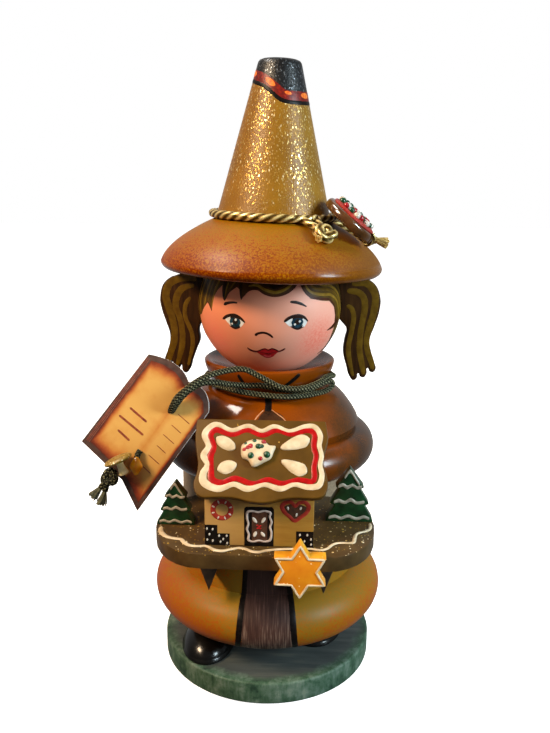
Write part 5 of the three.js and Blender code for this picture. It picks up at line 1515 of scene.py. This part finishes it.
tuft_foot = Vector((26.2, 0.2, 17.8))
tail_line = smooth_route([around_hat((17.9, 22.5), 126), around_hat(off_dome(0.72, 1.15), 118),
                          around_hat(off_dome(0.5, 1.45), 106),
                          around_hat((26.1, 17.2), 97), tuft_foot], 0.3)
tail = gold_rope("hat_cord_tail_laid", tail_line, hat_place)
fit(tail, "upper", "gold_cord", "hat_cord_tail")
# Frayed thread: paler and softer than the laid cord
frayed = mottled("frayed_gold_thread", "#D8B86A", 0.45, 0.6, 3,
                 [(0.3, "#A87C28"), (0.55, "#D0AC5C"), (0.8, "#EBD9A6")], Sheen_Weight=0.2)
golden_turn = 2.4


# A tuft of loose threads from one foot: each bows out and back in towards the end
def tuft(name, foot, ahead, length, spread, count, radius, finish, frame_of):
    side = ahead.orthogonal().normalized()
    other = ahead.cross(side)
    points = []
    faces = []
    for i in range(count):
        away = math.sqrt((i + 0.5) / count)
        turn = i * golden_turn
        lean = (side * math.cos(turn) + other * math.sin(turn)) * away
        reach = length * random.uniform(0.85, 1.08)
        sway = (side * random.uniform(-1, 1) + other * random.uniform(-1, 1)) * 0.12 * length
        route = []
        for k in range(9):
            t = k / 8
            bow = 0.35 + 1.1 * t - 0.45 * t * t
            route.append(foot + ahead * reach * t + lean * spread * bow + sway * t * t)
        more, more_faces, _ = rope(route, radius, 6)
        faces += [tuple(v + len(points) for v in f) for f in more_faces]
        points += more
    return new_piece(name, points, faces, finish, frame_of, 60)


random.seed(11)
gold_tuft = tuft("hat_cord_tuft", tuft_foot, Vector((0.95, -0.1, -0.28)).normalized(), 3.5, 1.25, 46, 0.17,
                 frayed, hat_place)
fit(gold_tuft, "upper", "gold_cord")
end_ahead = (knot_out * 0.45 - knot_side - Vector((0, 0, 0.4))).normalized()
end_tuft = tuft("hat_cord_knot_end", knot_middle + end_ahead * 1.2, end_ahead, 2.4, 0.7, 40, 0.16, frayed,
                hat_place)
fit(end_tuft, "upper", "gold_cord")

# Biscuit turned from lime wood and lacquered brown; it leans on the cord and the brim. Red icing and sugar
# pearls lie on top, and a loop of gold thread holds its lower end.
biscuit_place = hat_place @ Matrix.Translation((18.1, -8.6, 21.8))
biscuit_place @= Matrix.Rotation(math.radians(-7), 4, "Z")
biscuit_place @= Matrix.Rotation(math.radians(39.55), 4, "Y")
# Gloss lacquer over baked brown: clouded, with a sharp clear coat
crust = mottled("brown_gloss_lacquer", "#6E4420", 0.2, 2.5, 4,
                [(0.3, "#3C220A"), (0.55, "#553214"), (0.8, "#6C4620")], Coat_Weight=0.6,
                Coat_Roughness=0.06)
biscuit = turned("biscuit_turned", [
    (0, 0), (6.4, 0), (6.9, 0.2), (7.15, 0.6), (7.2, 1.0), (7.2, 1.5), (7.1, 1.95), (6.85, 2.3),
    (6.5, 2.48), (6, 2.5), (0, 2.5),
], crust, 96, biscuit_place)
fit(biscuit, "upper", "biscuit_lacquer", "biscuit")
icing_points = []
round_steps = 64
icing_rings = [(1, 2.48), (1.02, 2.75), (0.98, 3.05), (0.9, 3.25), (0.75, 3.35), (0.4, 3.4)]
for share, up in icing_rings:
    for k in range(round_steps):
        turn = 2 * math.pi * k / round_steps
        reach = (6.05 + 0.18 * math.cos(5 * turn) + 0.12 * math.cos(8 * turn + 1)) * share
        icing_points.append((reach * math.cos(turn), reach * math.sin(turn), up))
icing = new_piece("biscuit_red_icing", icing_points, ring_faces(len(icing_rings), round_steps),
                  motif_paints["brick_red"], biscuit_place, 60)
fit(icing, "upper", "red_icing", "biscuit_icing")
scatter = {
    "white": [(-4.6, 1.2, 1.05), (-2.6, -2.2, 1.0), (0.6, -4.7, 0.95), (3.6, -2.9, 0.95), (-1.2, 3.9, 1.0),
              (2.5, 3.2, 0.95), (4.7, 0.8, 0.9), (0.4, 0.6, 1.05)],
    "green": [(-4.3, -1.6, 1.0), (-2.2, 0.9, 1.1), (-1.2, -4.4, 0.9), (2.0, -1.2, 1.0), (0.9, 2.6, 1.0),
              (4.3, -1.1, 0.8), (-3.4, 3.2, 0.9)],
    "red": [(-0.9, -1.9, 1.0), (1.7, -3.2, 0.95), (2.6, 1.0, 1.0), (-0.6, 1.9, 0.9), (3.3, 4.0, 0.8),
            (-2.9, -3.9, 0.8)],
}
for pot, spots in scatter.items():
    places = [(biscuit_place @ Vector((x, y, 3.6)), 0.88 * radius) for x, y, radius in spots]
    fit(pearls("biscuit_pearls_" + pot, places, pearl_paints[pot]), "upper", "red_icing")
loop_line = smooth_route([(6.3, -1.2, 2.9), (7.0, -1.2, 2.5), (7.6, -1.0, 1.6), (7.6, -0.7, 0.6),
                          (7.0, -0.4, -0.25), (6.2, -0.2, -0.35)], 0.15)
loop = gold_rope("biscuit_thread_loop", loop_line, biscuit_place, 0.42, 12)
fit(loop, "upper", "gold_cord")

# Swing tag, a die-cut card 1 mm thick, printed as an open old book with burnt edges: dark leather border,
# two parchment pages with plain ruled lines, page edges on the left. Both ends of the cord go through its
# upper hole.
tag_place = Matrix.Translation((-22.8, -24, 77))
tag_place @= Matrix.Rotation(math.radians(72), 4, "X")
tag_place @= Matrix.Rotation(math.radians(-34.8), 4, "Z")


# Points along one curve of the card's die
def die_curve(start, control, end, count=10):
    return [bowed(start, control, end, k / count) for k in range(1, count + 1)]


card_outline = [(-13, -18.4), (0.5, -20), (7.8, -23.7), (7.7, 5.3),
                *die_curve((7.7, 5.3), (4.6, 10.6), (-0.6, 8.3)),
                *die_curve((-0.6, 8.3), (-5, 11.6), (-12.4, 8))]
# Printed leather: a satin dark brown, clouded
leather = mottled("printed_card_leather_border", "#4A3530", 0.4, 2.5, 5,
                  [(0.3, "#35221E"), (0.55, "#4C3731"), (0.8, "#604A42")], Specular_IOR_Level=0.25)
card = sawn("tag_card_die_cut", card_outline, 1, 0.12, leather, tag_place, False,
            [(0, 0, 1.1), (0, -12.2, 1.1)])
# Cut card: pale and matt where the die went through
paper_edge = mottled("cut_paper_edge", "#D8CFC4", 0.6, 0.4, 3, [(0.3, "#B8AEA4"), (0.7, "#E2DAD0")])
card.data.materials.append(paper_edge)
card_out = tag_place.to_3x3().col[2]
for facet in card.data.polygons:
    facet.material_index = 1 if abs(facet.normal.dot(card_out)) < 0.8 else 0
fit(card, "tag", "tag_card", "tag_card")

# The print is a thin coat in rings from the page's rim to its middle; the rim is burnt red-brown
parchment, node, where = new_finish("printed_card_parchment", "#D8A860", 0.45, Specular_IOR_Level=0.25)
rim = node("Attribute", {"attribute_name": "rim"})
stain = node("TexNoise", {"Scale": per_mm(3.5), "Detail": 5, "Roughness": 0.6}, {"Vector": where})
ragged = node("Math", {"operation": "MULTIPLY_ADD", 1: 0.7, 2: -0.35}, {0: stain})
burn = node("Math", {"operation": "ADD"}, {0: rim.outputs["Fac"], 1: ragged})
page_tone = node("ValToRGB", None, {"Fac": burn},
                 [(0.0, "#CA9A50"), (0.32, "#C0843E"), (0.55, "#B0622C"), (0.8, "#843618"),
                  (1.0, "#562012")])
feed(parchment, Base_Color=page_tone)
pages = {
    "left": [(-11.2, -17.2), (-5.6, -17.9), (0.05, -18.5), (0.05, -13), (0.05, -6), (0.05, 1), (0.05, 6.7),
             (-2.4, 7.7), (-4.6, 8.3), (-7.4, 8.2), (-10.9, 7.2), (-11.1, 2), (-11.2, -6), (-11.2, -12)],
    "right": [(0.05, -18.5), (3.4, -20), (6.9, -22), (6.95, -14), (6.95, -6), (6.9, 1), (6.8, 4.6),
              (5.2, 6.5), (3.4, 7.2), (1.6, 7), (0.05, 6.7), (0.05, 1), (0.05, -6), (0.05, -13)],
}
print_height = 0.515
for side, outline in pages.items():
    middle = Vector((sum(p[0] for p in outline) / len(outline), sum(p[1] for p in outline) / len(outline)))
    rim_line = [p.to_2d() for p in stroke_line([(x, y, 0) for x, y in outline], 0.5, False, True)]
    shares = [0, 0.05, 0.11, 0.18, 0.27, 0.4, 0.6, 0.85]
    points = []
    marks = []
    for share in shares:
        for p in rim_line:
            at = p.lerp(middle, share)
            points.append((at.x, at.y, print_height))
            spine = max(0, 1 - abs(at.x) / 1.6) * 0.4
            marks.append(max(max(0, 1 - share / 0.3) * (0.35 if abs(p.x) < 0.6 else 1.0), spine))
    page = new_piece("tag_page_" + side, points, ring_faces(len(shares), len(rim_line), False), parchment,
                     tag_place)
    mark(page, "rim", marks)
    fit(page, "tag", "tag_card")

card_turn = tag_place.to_3x3().col
on_card = on_flat(tag_place @ Vector((0, 0, 0.5)), card_turn[2], card_turn[0], card_turn[1])
# Printing ink: flat red-brown, a little patchy
ink = mottled("red_brown_print", "#8E3A1E", 0.45, 0.8, 3, [(0.35, "#6A1E10"), (0.7, "#96401E")])
ruled = []
for x in (-11.45, -11.85, -12.2):
    ruled.append([(x, -17.6, 0.16), (x, -5, 0.16), (x, 7.4, 0.16)])
for i, (x0, x1) in enumerate([(-8.4, -2.9), (-9.4, -1.7), (-7.6, -3.6)]):
    ruled.append([(x0, -5 - 3 * i, 0.55), (x1, -5.4 - 3 * i, 0.55)])
for i, (x0, x1) in enumerate([(1.9, 5.8), (2.2, 5.4), (1.9, 5.6), (2.3, 5.3), (2, 5.6), (2.4, 5.2)]):
    ruled.append([(x0, 0.6 - 3 * i, 0.2), (x1, 0.3 - 3 * i, 0.2)])
brushed("tag_ruled_lines", ruled, on_card, 0.012, ink, "tag", "tag_card", 0.5, sink=0.1, lift=0.022)

# The cord's two ends behind the card, and out through its lower hole
half_card = 0.6
behind = -half_card - cord_radius
before = half_card + cord_radius
for name, points in [
    ("tag_tail_back", [(0, 0.4, behind), (0.2, -6, behind - 0.3), (0, -12.4, behind)]),
    ("tag_tail_front", [(0, -11.6, before), (0, -12.4, before + 0.1), (0.4, -13.4, before + 0.5)]),
]:
    fit(olive_rope(name + "_plaited", smooth_route(points, 0.1), 16, tag_place), "tag", "olive_cord", name)

# Charms threaded on the cord's ends: an amber bead, turned with a point at each end, and a wooden mushroom
# with a gold glitter cap on a cream stem. The acrylic of the bead is a clear-coated orange that lets some
# light in.
amber = mottled("amber_acrylic", "#F0A018", 0.14, 1.8, 4,
                [(0.3, "#F08608"), (0.55, "#FFA818"), (0.8, "#FFD060")], Coat_Weight=0.5,
                Coat_Roughness=0.05, Subsurface_Weight=0.15)
bead_axis = Vector((-0.571, 0.821, 0))
bead_turn = Vector((0, 0, 1)).rotation_difference(bead_axis).to_matrix().to_4x4()
bead = turned("tag_bead_turned", [
    (0, -2.2), (0.35, -2.15), (0.6, -1.9), (1.1, -1.05), (1.45, -0.45), (1.6, 0), (1.45, 0.45), (1.1, 1.05),
    (0.6, 1.9), (0.35, 2.15), (0, 2.2),
], amber, 48, tag_place @ Matrix.Translation((1.5, -15, 2.3)) @ bead_turn, 50)
fit(bead, "tag", "amber_bead", "tag_bead")
# Glitter: dense gold flecks, each with a tone of its own
glitter_cap, node, where = new_finish("gold_glitter_on_wood", "#B8963C", 0.35)
mask, shade = flecks(node, where, 0.5, 0.36, 0.8)
cap_fleck = node("ValToRGB", None, {"Fac": shade}, [(0.0, "#6A5210"), (0.5, "#B0903C"), (1.0, "#FFF2C8")])
cap_tone = node("MixRGB", {"Color1": linear("#8C7024")}, {"Fac": mask, "Color2": cap_fleck})
cap_shine = node("MapRange", {"To Min": 0.42, "To Max": 0.16}, {"Value": mask})
feed(glitter_cap, Base_Color=cap_tone, Roughness=cap_shine)
# Cream paint: pale yellow and satin
cream_wood = mottled("cream_painted_wood", "#EBD9A0", 0.4, 1, 3, [(0.3, "#D9C27E"), (0.7, "#F2E4B6")])
stem_axis = Vector((-0.83, 0.51, 0.2)).normalized()
mushroom_turn = Vector((0, 0, 1)).rotation_difference(stem_axis).to_matrix().to_4x4()
mushroom_place = tag_place @ Matrix.Translation((-2.6, -16, 4.3)) @ mushroom_turn
mushroom_cap = turned("tag_mushroom_cap", [
    (0, -0.5), (3.0, -0.5), (3.3, -0.3), (3.42, 0), (3.25, 0.3), (2.8, 0.55), (1.8, 0.75), (0, 0.85),
], glitter_cap, 64, mushroom_place)
fit(mushroom_cap, "tag", "gold_glitter", "tag_mushroom")
mushroom_stem = turned("tag_mushroom_stem", [
    (0, -3.85), (0.85, -3.85), (1.1, -3.7), (1.2, -3.35), (1.05, -2.8), (0.88, -2), (0.84, -1.2),
    (0.92, -0.45), (0, -0.45),
], cream_wood, 40, mushroom_place)
fit(mushroom_stem, "tag", "gold_glitter")

# End knot: the two cord ends tied in one overhand knot, their tails frayed out
knot_loops = []
for k in range(241):
    t = 2 * math.pi * k / 240
    wide = 1.05 + 0.42 * math.cos(3 * t)
    knot_loops.append(Vector((-1.9 + 1.05 * wide * math.cos(2 * t), -20.7 + 1.15 * wide * math.sin(2 * t),
                              3 + 0.5 * math.sin(3 * t))))
end_knot = olive_rope("tag_knot_tied", knot_loops, 14, tag_place)
fit(end_knot, "tag", "olive_cord", "tag_knot")
# Frayed polyester: a dull grey olive, paler than the plait
olive_fray = mottled("frayed_polyester_thread", "#55563A", 0.7, 0.6, 3,
                     [(0.3, "#3A3A22"), (0.6, "#5C5D40"), (0.85, "#8E8F72")], Sheen_Weight=0.2)
random.seed(3)
for name, tip in [("left", (-2.7, -27.1, 2)), ("right", (0.1, -27.3, 2))]:
    start = Vector((-1.9, -21.4, 2.8))
    bend = start.lerp(Vector(tip), 0.45)
    line = smooth_route([start, start.lerp(bend, 0.6) + Vector((0, 0, 0.15)), bend], 0.14)
    fit(olive_rope("tag_tail_end_" + name, line, 14, tag_place, 0.76), "tag", "olive_cord")
    ahead = (Vector(tip) - bend).normalized()
    fray = tuft("tag_tail_fray_" + name, bend, ahead, (Vector(tip) - bend).length, 0.95, 54, 0.13,
                olive_fray, tag_place)
    fit(fray, "tag", "olive_cord")
